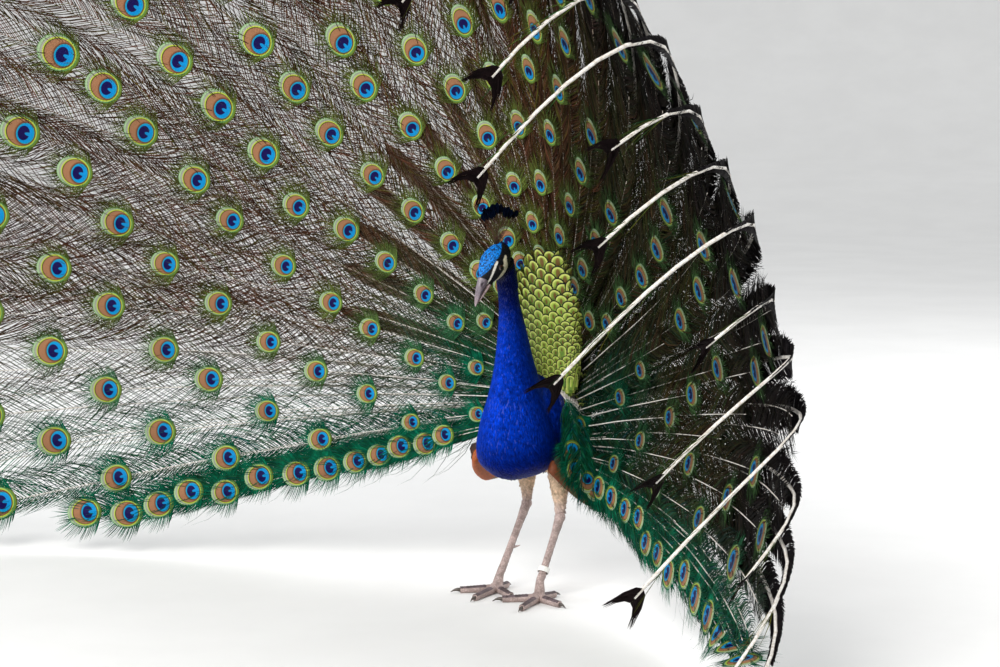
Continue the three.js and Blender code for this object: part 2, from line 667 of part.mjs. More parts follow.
const LEGS = {
  left: {
    knee: [46, 34, 205], hock: [49, 31, 120], ankle: [49.5, -24, 37], sole: LEFT_SOLE,
    toes: { inner: [4, -62], middle: [64, -104], outer: [98, -52], hind: [52, 10] },
  },
  right: {
    knee: [-42, 84, 205], hock: [-45, 88, 126], ankle: [-45, 14, 32], sole: RIGHT_SOLE,
    toes: { inner: [2, -34], middle: [-36, -76], outer: [-88, -36], hind: [-50, 38] },
  },
};
const TOE_HEIGHT = 6.4;
const CLAW_LENGTH = 15;
const SPUR = { place: 0.66, length: 17 };
const SCUTE = { shank: 7, toe: 3, depth: 0.5 };
const BAND = { place: 0.885, inner: 7.9, wall: 1, height: 8 };

// A spot part of the way from a to b, at its own height or at a given one.
function between(a, b, part, height) {
  const spot = vec(...a).lerp(vec(...b), part).toArray();
  return height === undefined ? spot : [spot[0], spot[1], height];
}

// A limb of rings with a row of raised scutes along it.
function scuted(rings, side, sides, scutes) {
  const line = new THREE.CatmullRomCurve3(rings.map(([x, y, z]) => vec(x, y, z)), false, 'centripetal');
  const width = new THREE.CatmullRomCurve3(rings.map(([, , , w, d]) => vec(w, d, 0)), false, 'centripetal');
  const steps = 2 * scutes;
  return shaped(sides, steps, (t, x, z) => {
    const place = Math.round(t * steps);
    const even = place % 2 === 0;
    const spread = even && place > 0 && place < steps ? t - 0.42 / steps : t;
    const along = line.getTangent(spread);
    const across = side.clone().addScaledVector(along, -side.dot(along)).normalize();
    const deep = vec(0, 0, 0).crossVectors(across, along);
    const size = width.getPoint(spread);
    const raised = even ? 0 : SCUTE.depth;
    return line.getPoint(spread)
      .addScaledVector(across, x * (size.x + raised))
      .addScaledVector(deep, z * (size.y + raised));
  });
}

function thigh(side, grow = 0) {
  const { knee, hock } = LEGS[side];
  const end = grow > 0 ? 0.985 : 0.98;
  return loft([
    [...knee, 24 + grow, 28 + grow], [...between(knee, hock, 0.45), 19 + grow, 23 + grow],
    [...between(knee, hock, 0.8), 12 + grow, 14 + grow], [...between(knee, hock, end), 8 + grow, 9 + grow],
  ], vec(1, 0, 0), 12, 6);
}

function shank(side) {
  const { hock, ankle } = LEGS[side];
  const limb = scuted([
    [...hock, 7.6, 8], [...between(hock, ankle, 0.12), 7.4, 7.8], [...between(hock, ankle, 0.5), 5.4, 6],
    [...ankle, 5.8, 6.2],
  ], vec(1, 0, 0), 6, SCUTE.shank);
  const knob = ball(hock, [8.6, 9.4, 9], null, 8, 6);
  const along = vec(...ankle).sub(vec(...hock)).normalize();
  const start = vec(...between(hock, ankle, SPUR.place));
  const behind = vec(side === 'left' ? -0.35 : 0.35, 1, -0.1).normalize();
  const spur = shaped(5, 2, (t, x, z) => {
    const radius = mix(3.2, 0.5, t);
    return start.clone().addScaledVector(behind, 2 + t * SPUR.length)
      .addScaledVector(along, x * radius - 3 * t * t)
      .addScaledVector(vec(1, 0, 0), z * radius);
  });
  return limb.add(knob).add(spur).subtract(thigh(side, GAP));
}

// The leg band, a short tube round the lower end of the shank.
function band() {
  const { hock, ankle } = LEGS.left;
  const { place, inner, wall, height } = BAND;
  const half = height / 2;
  const outer = inner + wall;
  const corners = [[inner, -half], [outer, -half], [outer, half], [inner, half], [inner, -half]];
  const geometry = new THREE.LatheGeometry(corners.map(([x, y]) => new THREE.Vector2(x, y)), 12);
  const along = vec(...hock).sub(vec(...ankle)).normalize();
  const turn = new THREE.Quaternion().setFromUnitVectors(vec(0, 1, 0), along);
  const centre = vec(...between(hock, ankle, place));
  geometry.applyMatrix4(new THREE.Matrix4().compose(centre, turn, vec(1, 1, 1)));
  addPiece('leg_ring', toSolid(geometry), RING_WHITE);
}

function foot(side) {
  const { hock, ankle, sole, toes } = LEGS[side];
  const axes = [vec(1, 0, 0), vec(0, 1, 0), UP];
  const aboveFloor = block(vec(0, 0, 0), axes, [-400, -400, 0], [400, 400, 400]);
  const along = vec(...ankle).sub(vec(...hock)).normalize();
  const across = vec(1, 0, 0);
  const belowShank = block(
    vec(...ankle), [across, along.clone().cross(across), along], [-30, -30, GAP], [30, 30, 90],
  );
  const stem = loft([
    [...vec(...ankle).addScaledVector(along, -2).toArray(), 6, 6.4],
    [...vec(...ankle).addScaledVector(along, 8).toArray(), 6.2, 6.6],
    [sole[0], sole[1] + 3, 12, 8, 8],
  ], across, 7, 3).intersect(belowShank);
  const parts = [ball([sole[0], sole[1], 9], [12, 13, 12], null, 8, 5), stem];
  for (const tip of Object.values(toes)) {
    const [from, to] = [[...sole, 0], [...tip, 0]];
    parts.push(scuted([
      [...sole, TOE_HEIGHT, 7, 6.9], [...between(from, to, 0.5, TOE_HEIGHT - 0.6), 5.8, 6.1],
      [...between(from, to, 1, TOE_HEIGHT - 1.4), 4.6, 5.3],
    ], UP, 5, SCUTE.toe));
  }
  addPiece(`foot_${side}`, fuse(parts).intersect(aboveFloor), SHANK);
}

function claw(side, toe, tip) {
  const { sole } = LEGS[side];
  const along = vec(tip[0] - sole[0], tip[1] - sole[1], 0).normalize();
  const sideways = vec(-along.y, along.x, 0);
  const start = vec(tip[0], tip[1], TOE_HEIGHT - 1.4).addScaledVector(along, GAP);
  const solid = shaped(5, 3, (t, x, z) => {
    const radius = mix(3.4, 0.5, t);
    const arch = 1.2 * Math.sin(Math.PI * t) - 3.2 * t * t;
    return start.clone().addScaledVector(along, t * CLAW_LENGTH)
      .addScaledVector(sideways, x * radius * 0.7)
      .addScaledVector(UP, z * radius + arch);
  });
  addPiece(`claw_${side}_${toe}`, solid, CLAW);
}

function leg(side) {
  addPiece(`thigh_${side}`, thigh(side).subtract(bodyGrown), BUFF);
  addPiece(`leg_${side}`, shank(side), SHANK);
  foot(side);
  for (const [toe, tip] of Object.entries(LEGS[side].toes)) claw(side, toe, tip);
}

// ---- assembly ---------------------------------------------------------------

function neckAndTorso() {
  const place = vec(0, NECK_CUT.y, NECK_CUT.height);
  const above = block(place, NECK_AXES, [-300, -300, GAP / 2], [300, 300, 600]);
  const below = block(place, NECK_AXES, [-300, -300, -600], [300, 300, -GAP / 2]);
  const whole = trunk().subtract(backCore(GAP));
  addPiece('neck', whole.intersect(above), BLUE);
  addPiece('torso', whole.intersect(below), BLUE);
}

head();
bill();
crest();
neckAndTorso();
TRAIN.sectors.forEach(trainSector);
backScales();
tail();
vent();
wing('left', 1);
wing('right', -1);
leg('left');
leg('right');
band();

export default bird;
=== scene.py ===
import json
import math

import bmesh
import bpy
import numpy as np
from mathutils import Matrix, Vector

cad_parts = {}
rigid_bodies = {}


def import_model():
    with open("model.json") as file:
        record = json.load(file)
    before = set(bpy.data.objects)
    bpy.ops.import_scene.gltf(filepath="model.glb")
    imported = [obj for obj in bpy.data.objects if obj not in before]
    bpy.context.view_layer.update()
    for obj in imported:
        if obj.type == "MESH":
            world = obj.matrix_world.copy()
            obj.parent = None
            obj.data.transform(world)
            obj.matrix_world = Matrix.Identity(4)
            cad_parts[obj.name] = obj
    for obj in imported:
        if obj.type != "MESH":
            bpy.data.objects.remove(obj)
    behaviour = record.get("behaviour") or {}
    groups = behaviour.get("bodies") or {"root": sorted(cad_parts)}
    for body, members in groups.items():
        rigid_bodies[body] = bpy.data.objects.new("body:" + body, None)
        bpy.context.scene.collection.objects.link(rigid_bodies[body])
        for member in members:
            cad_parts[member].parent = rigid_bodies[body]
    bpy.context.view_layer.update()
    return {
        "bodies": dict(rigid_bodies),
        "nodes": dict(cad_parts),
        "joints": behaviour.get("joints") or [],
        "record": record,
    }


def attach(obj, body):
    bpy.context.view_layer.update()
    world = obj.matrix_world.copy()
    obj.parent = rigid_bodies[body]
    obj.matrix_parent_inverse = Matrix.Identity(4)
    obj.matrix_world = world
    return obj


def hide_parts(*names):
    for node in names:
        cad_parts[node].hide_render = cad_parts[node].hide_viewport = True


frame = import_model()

# A displaying peacock, life size. Shapes are worked out in millimetres from a
# point on the floor between the feet, with the bird facing -Y and its left on
# +X, and are moved to the model's own origin as each piece is made.

MM = 0.001
ORIGIN = np.array([-48.0, 30.0, 0.0])
SEED = 4711
chance = np.random.default_rng(SEED)
QUICK_GAP = 1.0


# ---- small helpers ----------------------------------------------------------

def mix(a, b, part):
    return a + (b - a) * part


def smooth(low, high, x):
    part = np.clip((np.asarray(x, float) - low) / (high - low), 0.0, 1.0)
    return part * part * (3 - 2 * part)


def unit(vectors):
    vectors = np.asarray(vectors, float)
    length = np.linalg.norm(vectors, axis=-1, keepdims=True)
    return vectors / np.maximum(length, 1e-9)


def colour(red, green, blue):
    """A colour as a paint chart gives it, turned into light values."""
    chart = np.array([red, green, blue], float)
    return np.where(chart <= 0.04045, chart / 12.92, ((chart + 0.055) / 1.055) ** 2.4)


def spread(low, high, number):
    """A column of chance values, one for each of this many parts."""
    return chance.uniform(low, high, (number, 1))


def along_points(points, count):
    """A smooth line through the given points, as this many rows of numbers."""
    points = np.asarray(points, float)
    ends = np.vstack([2 * points[0] - points[1], points, 2 * points[-1] - points[-2]])
    rows = []
    for place in np.linspace(0, len(points) - 1, count):
        i = min(int(place), len(points) - 2)
        t = place - i
        a, b, c, d = ends[i:i + 4]
        rows.append(0.5 * (2 * b + (c - a) * t + (2 * a - 5 * b + 4 * c - d) * t ** 2
                           + (3 * b - a - 3 * c + d) * t ** 3))
    return np.array(rows)


def distance_to_line(points, line):
    """How far each point is from a line of points, both flat or both solid."""
    line = np.asarray(line, float)
    best = np.full(len(points), 1e9)
    for a, b in zip(line[:-1], line[1:]):
        part = np.clip((points - a) @ (b - a) / max((b - a) @ (b - a), 1e-9), 0, 1)
        spot = a + part[:, None] * (b - a)
        best = np.minimum(best, np.linalg.norm(points - spot, axis=1))
    return best


# ---- making pieces ------------------------------------------------------------

# Feather parts are kept this far above the floor, in millimetres.
LOWEST = 0.3
# The size of one part's patch on the baking map.
BAKE_PATCH = 0.0028


def choose(*pieces):
    """Selects these pieces alone. The first becomes the active one."""
    bpy.ops.object.select_all(action="DESELECT")
    for piece in pieces:
        piece.select_set(True)
    bpy.context.view_layer.objects.active = pieces[0]


def face_out(inside=False):
    """Turns the faces of the active piece outwards, or all of them inwards."""
    bpy.ops.object.mode_set(mode="EDIT")
    bpy.ops.mesh.select_all(action="SELECT")
    bpy.ops.mesh.normals_make_consistent(inside=inside)
    bpy.ops.object.mode_set(mode="OBJECT")


def linked(name, mesh):
    """A new piece that shows a mesh."""
    piece = bpy.data.objects.new(name, mesh)
    bpy.context.collection.objects.link(piece)
    return piece


def from_faces(name, points, quads):
    """A piece made of corners in the bird's millimetres and four-sided faces."""
    mesh = bpy.data.meshes.new(name)
    mesh.from_pydata([tuple(spot) for spot in (np.array(points) + ORIGIN) * MM], [], quads)
    return linked(name, mesh)


def corners_of(piece):
    """The corners of a piece, in the bird's millimetres."""
    spots = np.empty(3 * len(piece.data.vertices))
    piece.data.vertices.foreach_get("co", spots)
    return spots.reshape(-1, 3) / MM - ORIGIN


def put_corners(piece, spots):
    """Moves the corners of a piece, in the bird's millimetres."""
    piece.data.vertices.foreach_set("co", ((spots + ORIGIN) * MM).ravel())
    piece.data.update()


def raise_above(piece, height):
    """Flattens a piece where it would sink below a height."""
    spots = corners_of(piece)
    spots[:, 2] = np.maximum(spots[:, 2], height)
    put_corners(piece, spots)


def tint_corners(piece, tints):
    """Gives a piece its tints, one for each corner or one for all, and soft shading."""
    mesh = piece.data
    layer = mesh.color_attributes.new("Tint", "FLOAT_COLOR", "POINT")
    tints = np.broadcast_to(tints, (len(mesh.vertices), 3))
    layer.data.foreach_set("color", np.c_[tints, np.ones(len(tints))].ravel())
    mesh.polygons.foreach_set("use_smooth", np.ones(len(mesh.polygons), bool))


def apply_modifier(piece, name, kind, **settings):
    """Adds a modifier to the active piece, and makes its result the mesh."""
    modifier = piece.modifiers.new(name, kind)
    for key, value in settings.items():
        setattr(modifier, key, value)
    bpy.ops.object.modifier_apply(modifier=name)


def finish_piece(piece, name, finish, nodes=()):
    """Names a piece and its mesh, gives it its material, and hides the model's nodes it stands for."""
    piece.name = piece.data.name = name
    piece.data.materials.clear()
    piece.data.materials.append(finish)
    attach(piece, "root")
    if nodes:
        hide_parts(*nodes)
    return piece


class Sheaf:
    """Feather parts that are gathered into one mesh, each with its tint, its own
    flat coordinates, and its small patch of the baking map."""

    def __init__(self):
        self.points, self.tints, self.vanes, self.bakes = [], [], [], []
        self.quads, self.tris = [], []
        self.count = 0

    def add(self, points, quads, tris, tint, vane, bake):
        points = np.asarray(points, float).reshape(-1, 3)
        number = len(points)
        self.points.append(points)
        self.tints.append(np.broadcast_to(np.asarray(tint, float), (number, 3)))
        self.vanes.append(np.broadcast_to(np.asarray(vane, float), (number, 2)))
        self.bakes.append(np.broadcast_to(np.asarray(bake, float), (number, 2)))
        self.quads.append(np.asarray(quads, int).reshape(-1, 4) + self.count)
        self.tris.append(np.asarray(tris, int).reshape(-1, 3) + self.count)
        self.count += number

    def copies(self, pattern, points, tints, bakes):
        """Adds many copies of one pattern: points is copies x corners x 3."""
        number, corners = points.shape[:2]
        shift = (np.arange(number) * corners)[:, None, None]
        vane = np.tile(pattern.points[:, :2], (number, 1))
        local = BAKE_PATCH * (pattern.points[:, :2] * [0.5, 1.0] + [0.0, -0.5])
        bake = (np.asarray(bakes)[:, None] + local).reshape(-1, 2)
        tints = np.repeat(tints, corners, axis=0)
        self.add(points, pattern.quads + shift, pattern.tris + shift, tints, vane, bake)

    def make(self, name, finish, slot, nodes=()):
        quads, tris = np.concatenate(self.quads), np.concatenate(self.tris)
        corners = np.concatenate([quads.ravel(), tris.ravel()])
        sizes = np.concatenate([np.full(len(quads), 4), np.full(len(tris), 3)])
        mesh = bpy.data.meshes.new(name)
        mesh.vertices.add(self.count)
        spots = (np.concatenate(self.points) + ORIGIN) * MM
        spots[:, 2] = np.maximum(spots[:, 2], LOWEST * MM)
        mesh.vertices.foreach_set("co", spots.astype(np.float32).ravel())
        mesh.loops.add(len(corners))
        mesh.loops.foreach_set("vertex_index", corners.astype(np.int32))
        mesh.polygons.add(len(sizes))
        starts = np.concatenate([[0], np.cumsum(sizes)[:-1]])
        mesh.polygons.foreach_set("loop_start", starts.astype(np.int32))
        mesh.update(calc_edges=True)
        for map_name, values in (("Vane", self.vanes), ("OFBake", self.bakes)):
            layer = mesh.uv_layers.new(name=map_name)
            layer.data.foreach_set("uv", np.concatenate(values)[corners].ravel())
        piece = linked(name, mesh)
        tint_corners(piece, np.concatenate(self.tints))
        return finish_piece(piece, name, finish, nodes)


def tube_faces(rings, sides, closed=False):
    """The faces of a tube of rings of corners, which may close up on itself."""
    faces = []
    for i in range(rings if closed else rings - 1):
        after = (i + 1) % rings
        for k in range(sides):
            j = (k + 1) % sides
            faces.append((sides * i + k, sides * i + j, sides * after + j, sides * after + k))
    return faces


class Pattern:
    """One small feather form, made once and then copied."""

    def __init__(self, points, quads, tris):
        self.points = np.asarray(points, float)
        self.quads = np.asarray(quads, int).reshape(-1, 4)
        self.tris = np.asarray(tris, int).reshape(-1, 3)


# Each strip of a vane starts this share of its width before the last one ends.
STRIP_LAP = 0.2


def web(strips, edge, root, lift, crown):
    """A vane whose barbs are overlapping strips from the shaft out to its edge.
    edge(t) gives the margin from base to tip, and root(t) the place on the shaft
    that the same barb leaves. Width and length both run to 1. Strips are raised
    by lift where they overlap, and crown bends the vane down towards its edge."""
    points, quads, tris = [], [], []
    cuts = np.linspace(0, 1, strips + 1)
    for side in (-1, 1):
        for a, b in zip(cuts[:-1], cuts[1:]):
            base = len(points)
            start = max(0.0, a - STRIP_LAP * (b - a))
            for reach in (0.0, 0.5, 0.9):
                for t, raised in ((start, lift), (b, -lift)):
                    x, y = edge(t)
                    points.append((side * x * reach, root(t) + (y - root(t)) * reach,
                                   raised * reach - crown * (x * reach) ** 2))
            x, y = edge((a + b) / 2)
            points.append((side * x, y, -crown * x * x))
            ladder = [[base, base + 1, base + 3, base + 2], [base + 2, base + 3, base + 5, base + 4]]
            tip = [base + 4, base + 5, base + 6]
            quads += [row if side < 0 else row[::-1] for row in ladder]
            tris.append(tip if side < 0 else tip[::-1])
    return Pattern(points, quads, tris)


def placed(pattern, spots, along, across, out, length, half, curl=0.0):
    """Copies of a pattern at many spots, each bent a little out or in."""
    x, y, z = pattern.points.T
    length, half = np.asarray(length, float)[:, None], np.asarray(half, float)[:, None]
    rise = (z[None] * half + curl * (y[None] ** 2) * length)[..., None]
    return (spots[:, None] + along[:, None] * (y[None] * length)[..., None]
            + across[:, None] * (x[None] * half)[..., None] + out[:, None] * rise)


# ---- finishes --------------------------------------------------------------------

class Finish:
    """A material, with short calls for adding nodes and joining them."""

    def __init__(self, name, group=False):
        if group:
            self.tree = bpy.data.node_groups.new(name, "ShaderNodeTree")
            return
        self.material = bpy.data.materials.new(name)
        self.material.use_nodes = True
        self.tree = self.material.node_tree
        self.shader = self.tree.nodes["Principled BSDF"]

    def add(self, kind, values=(), **settings):
        node = self.tree.nodes.new(kind)
        for key, value in settings.items():
            setattr(node, key, value)
        for socket, value in dict(values).items():
            self.put(node.inputs[socket], value)
        return node

    def put(self, socket, value):
        if isinstance(value, bpy.types.NodeSocket):
            self.tree.links.new(value, socket)
        elif socket.type == "RGBA":
            socket.default_value = (*[float(v) for v in value[:3]], 1.0)
        else:
            socket.default_value = value

    def maths(self, operation, a, b=0.0):
        return self.add("ShaderNodeMath", {0: a, 1: b}, operation=operation).outputs[0]

    def times(self, a, b):
        return self.maths("MULTIPLY", a, b)

    def radius(self, x, y):
        """How far a place is from the middle."""
        return self.maths("SQRT", self.maths("ADD", self.times(x, x), self.times(y, y)))

    def blend(self, part, a, b, how="MIX"):
        return self.add("ShaderNodeMixRGB", {0: part, 1: a, 2: b}, blend_type=how).outputs[0]

    def dyed(self, paint, dye):
        """One colour multiplied by another."""
        return self.blend(1.0, paint, dye, "MULTIPLY")

    def shaded(self, paint, gain):
        """A colour made darker or lighter by a value."""
        return self.dyed(paint, self.add("ShaderNodeCombineColor", {0: gain, 1: gain, 2: gain}).outputs[0])

    def span(self, value, low, high, out_low=0.0, out_high=1.0):
        node = self.add("ShaderNodeMapRange", {0: value, 1: low, 2: high, 3: out_low, 4: out_high},
                        interpolation_type="SMOOTHSTEP")
        return node.outputs[0]

    def object_place(self):
        return self.add("ShaderNodeTexCoord").outputs["Object"]

    def vane_place(self):
        return self.add("ShaderNodeUVMap", uv_map="Vane").outputs[0]

    def parts_of(self, place):
        return self.add("ShaderNodeSeparateXYZ", {0: place}).outputs

    def tint(self):
        return self.add("ShaderNodeAttribute", attribute_name="Tint").outputs["Color"]

    def noise(self, place, scale, detail=4.0):
        values = {"Vector": place, "Scale": scale, "Detail": detail, "Roughness": 0.6}
        return self.add("ShaderNodeTexNoise", values).outputs[0]

    def cells(self, place, scale):
        return self.add("ShaderNodeTexVoronoi", {"Vector": place, "Scale": scale}).outputs["Distance"]

    def use(self, group, **values):
        node = self.add("ShaderNodeGroup", node_tree=group)
        for key, value in values.items():
            self.put(node.inputs[key.replace("_", " ")], value)
        return node.outputs

    def bump(self, height, strength, depth):
        values = {"Height": height, "Strength": strength, "Distance": depth}
        self.put(self.shader.inputs["Normal"], self.add("ShaderNodeBump", values).outputs[0])

    def set(self, **values):
        for key, value in values.items():
            self.put(self.shader.inputs[key.replace("_", " ")], value)


def group_of(name, inputs, outputs):
    """A node group with named sockets, and its two end nodes."""
    group = Finish(name, group=True)
    for socket, kind in inputs.items():
        group.tree.interface.new_socket(socket, in_out="INPUT", socket_type="NodeSocket" + kind)
    for socket, kind in outputs.items():
        group.tree.interface.new_socket(socket, in_out="OUTPUT", socket_type="NodeSocket" + kind)
    group.start = group.tree.nodes.new("NodeGroupInput").outputs
    group.end = group.tree.nodes.new("NodeGroupOutput").inputs
    return group


def mottle_group():
    """Soft light and dark patches over a colour."""
    group = group_of("mottle", {"Place": "Vector", "Scale": "Float", "Colour": "Color", "Amount": "Float"},
                     {"Colour": "Color"})
    patch = group.noise(group.start["Place"], group.start["Scale"])
    low = group.maths("SUBTRACT", 1.0, group.start["Amount"])
    high = group.maths("ADD", 1.0, group.start["Amount"])
    gain = group.span(patch, 0.3, 0.7, low, high)
    group.put(group.end["Colour"], group.shaded(group.start["Colour"], gain))
    return group.tree


def barb_group():
    """Fine slanting lines each side of a shaft, in a vane's own coordinates."""
    group = group_of("barb_lines", {"Place": "Vector", "Count": "Float", "Slant": "Float"},
                     {"Lines": "Float", "Shaft": "Float"})
    parts = group.parts_of(group.start["Place"])
    side = group.maths("ABSOLUTE", parts[0])
    slid = group.maths("SUBTRACT", parts[1], group.times(side, group.start["Slant"]))
    wave = group.maths("SINE", group.times(slid, group.times(group.start["Count"], math.tau)))
    group.put(group.end["Lines"], group.maths("ADD", group.times(wave, 0.5), 0.5))
    group.put(group.end["Shaft"], group.span(side, 0.03, 0.1, 1.0, 0.0))
    return group.tree


# The eye of a train feather in its own coordinates: each layer is a colour, the
# height of its middle, its half width and half height, and how soft its edge is.
EYE_LAYERS = [
    (colour(0.42, 0.50, 0.16), 0.05, 0.97, 1.04, 0.10),
    (colour(0.22, 0.48, 0.27), 0.07, 0.88, 0.98, 0.06),
    (colour(0.60, 0.70, 0.54), 0.08, 0.83, 0.93, 0.04),
    (colour(0.24, 0.44, 0.30), 0.02, 0.79, 0.87, 0.03),
    (colour(0.60, 0.60, 0.55), 0.03, 0.76, 0.85, 0.04),
    (colour(0.68, 0.74, 0.22), -0.04, 0.76, 0.81, 0.04),
    (colour(0.16, 0.18, 0.09), -0.04, 0.70, 0.75, 0.03),
    (colour(0.58, 0.41, 0.29), -0.05, 0.67, 0.71, 0.04),
    (colour(0.33, 0.16, 0.08), -0.26, 0.60, 0.52, 0.14),
    (colour(0.01, 0.55, 0.66), -0.27, 0.53, 0.46, 0.04),
    (colour(0.0, 0.50, 0.76), -0.27, 0.47, 0.40, 0.08),
    (colour(0.04, 0.01, 0.27), -0.19, 0.37, 0.30, 0.05),
    (colour(0.0, 0.50, 0.74), -0.47, 0.09, 0.22, 0.12),
]


EYE_RIM = colour(0.16, 0.22, 0.06)


def eye_group():
    """The rings of colour of an eye, painted one over the other."""
    group = group_of("train_eye", {"Place": "Vector"}, {"Colour": "Color"})
    parts = group.parts_of(group.start["Place"])
    paint = EYE_RIM
    for shade, middle, wide, high, soft in EYE_LAYERS:
        x = group.maths("DIVIDE", parts[0], wide)
        y = group.maths("DIVIDE", group.maths("SUBTRACT", parts[1], middle), high)
        mask = group.span(group.radius(x, y), 1 - soft, 1 + soft, 1.0, 0.0)
        paint = group.blend(mask, paint, shade)
    group.put(group.end["Colour"], paint)
    return group.tree


MOTTLE = mottle_group()
BARBS = barb_group()
EYE_RINGS = eye_group()


def barb_finish():
    """Loose barbs of the train, coloured by their tint with a silky gloss."""
    look = Finish("train_barbs")
    patches = look.use(MOTTLE, Place=look.object_place(), Scale=55.0, Colour=look.tint(), Amount=0.45)
    look.set(Base_Color=patches["Colour"], Roughness=0.6, Specular_IOR_Level=0.03)
    return look.material


def eye_finish():
    """The modelled eyes: rings in front, and plain brown behind."""
    look = Finish("train_eyes")
    place = look.vane_place()
    rings = look.use(EYE_RINGS, Place=place)
    lines = look.use(BARBS, Place=place, Count=22.0, Slant=0.9)
    shade = look.span(lines["Lines"], 0.0, 1.0, 0.78, 1.06)
    painted = look.shaded(look.dyed(rings["Colour"], look.tint()), shade)
    behind = look.add("ShaderNodeNewGeometry").outputs["Backfacing"]
    painted = look.blend(behind, painted, colour(0.24, 0.19, 0.14))
    look.set(Base_Color=painted, Roughness=0.45, Specular_IOR_Level=0.1, Metallic=0.1)
    look.bump(lines["Lines"], 0.35, 0.0005)
    return look.material


def shaft_finish():
    """Pale streaked quill."""
    look = Finish("quill")
    streaks = look.noise(look.object_place(), 240.0, 3.0)
    paint = look.blend(look.span(streaks, 0.35, 0.7), colour(0.90, 0.89, 0.87), colour(0.74, 0.70, 0.65))
    look.set(Base_Color=look.dyed(paint, look.tint()), Roughness=0.38, Specular_IOR_Level=0.5)
    look.bump(streaks, 0.15, 0.0004)
    return look.material


def plumage_finish(name, rough, sheen, count, gloss=0.4, metal=0.0, dark=0.55, glow=(1.0, 1.0, 1.0)):
    """Small feathers, with their barbs drawn in their own coordinates."""
    look = Finish(name)
    lines = look.use(BARBS, Place=look.vane_place(), Count=count, Slant=0.7)
    patches = look.use(MOTTLE, Place=look.object_place(), Scale=130.0, Colour=look.tint(), Amount=0.3)
    painted = look.shaded(patches["Colour"], look.span(lines["Lines"], 0.0, 1.0, dark, 1.1))
    look.set(Base_Color=painted, Roughness=rough, Specular_IOR_Level=gloss, Metallic=metal)
    look.set(Sheen_Weight=sheen, Sheen_Roughness=0.35, Sheen_Tint=glow)
    look.bump(lines["Lines"], 0.4, 0.0004)
    return look.material


# A scale of the back is this many times as long as half its width.
SCALE_LONG = 3.2
COPPER_NARROW = 5 ** 0.5


def scale_finish():
    """The tiled feathers of the back: golden green with a pale and a dark edge,
    and with a coppery middle that is larger higher up."""
    look = Finish("golden_scales")
    place = look.vane_place()
    parts = look.parts_of(place)
    x = look.maths("ABSOLUTE", parts[0])
    up = look.times(look.maths("SUBTRACT", parts[1], 1 - 1 / SCALE_LONG), SCALE_LONG)
    far = look.radius(x, look.maths("MAXIMUM", up, 0.0))
    lines = look.use(BARBS, Place=place, Count=9.0, Slant=0.6)
    patches = look.use(MOTTLE, Place=look.object_place(), Scale=160.0, Colour=look.tint(), Amount=0.2)
    height = look.parts_of(look.object_place())[2]
    copper_size = look.span(height, 0.43, 0.50, 0.34, 0.62)
    off = look.maths("DIVIDE", look.radius(look.times(x, COPPER_NARROW), up), copper_size)
    copper = look.span(off, 0.7, 1.3, 0.8, 0.0)
    green = look.span(far, 0.2, 0.55, 0.55, 0.0)
    painted = look.blend(green, patches["Colour"], colour(0.16, 0.42, 0.14))
    painted = look.blend(copper, painted, colour(0.42, 0.20, 0.10))
    painted = look.blend(look.span(far, 0.54, 0.64), painted, colour(0.76, 0.80, 0.42))
    painted = look.blend(look.span(far, 0.76, 0.83), painted, colour(0.015, 0.03, 0.01))
    look.set(Base_Color=painted, Roughness=0.42, Specular_IOR_Level=0.35, Metallic=0.2)
    look.bump(lines["Lines"], 0.35, 0.0004)
    return look.material


def flight_finish(name, tone, bar, bars, amount):
    """Wing and tail feathers, with uneven bars across them."""
    look = Finish(name)
    place = look.vane_place()
    lines = look.use(BARBS, Place=place, Count=40.0, Slant=0.35)
    wobble = look.times(look.noise(look.object_place(), 60.0, 3.0), 0.12)
    turns = look.times(look.maths("ADD", look.parts_of(place)[1], wobble), bars * math.tau)
    barred = look.span(look.maths("SINE", turns), -0.1, 0.5, 0.0, amount)
    painted = look.blend(barred, look.dyed(tone, look.tint()), bar)
    painted = look.shaded(painted, look.span(lines["Lines"], 0.0, 1.0, 0.75, 1.08))
    painted = look.blend(look.times(lines["Shaft"], 0.6), painted, colour(0.42, 0.33, 0.24))
    look.set(Base_Color=painted, Roughness=0.55, Specular_IOR_Level=0.35, Sheen_Weight=0.15)
    look.bump(lines["Lines"], 0.3, 0.0004)
    return look.material


def skin_finish():
    """The painted skin under the coat, with fine creases."""
    look = Finish("skin")
    place = look.object_place()
    patches = look.use(MOTTLE, Place=place, Scale=260.0, Colour=look.tint(), Amount=0.22)
    look.set(Base_Color=patches["Colour"], Roughness=0.62, Specular_IOR_Level=0.35)
    look.bump(look.cells(place, 900.0), 0.3, 0.0005)
    return look.material


def horn_finish(name, base, tip, rough):
    """Bill and claws: streaked horn."""
    look = Finish(name)
    streaks = look.noise(look.object_place(), 320.0, 5.0)
    painted = look.dyed(look.blend(look.span(streaks, 0.3, 0.7), base, tip), look.tint())
    look.set(Base_Color=painted, Roughness=rough, Specular_IOR_Level=0.5)
    look.set(Coat_Weight=0.15, Coat_Roughness=0.25)
    look.bump(streaks, 0.12, 0.0005)
    return look.material


def leg_finish():
    """Scaly skin of the legs and toes."""
    look = Finish("leg_skin")
    place = look.object_place()
    cells = look.cells(place, 420.0)
    patches = look.use(MOTTLE, Place=place, Scale=90.0, Colour=look.tint(), Amount=0.28)
    gaps = look.span(cells, 0.25, 0.6, 0.0, 0.35)
    painted = look.blend(gaps, patches["Colour"], colour(0.30, 0.24, 0.21))
    look.set(Base_Color=painted, Roughness=0.55, Specular_IOR_Level=0.4)
    look.bump(cells, 0.5, 0.0006)
    return look.material


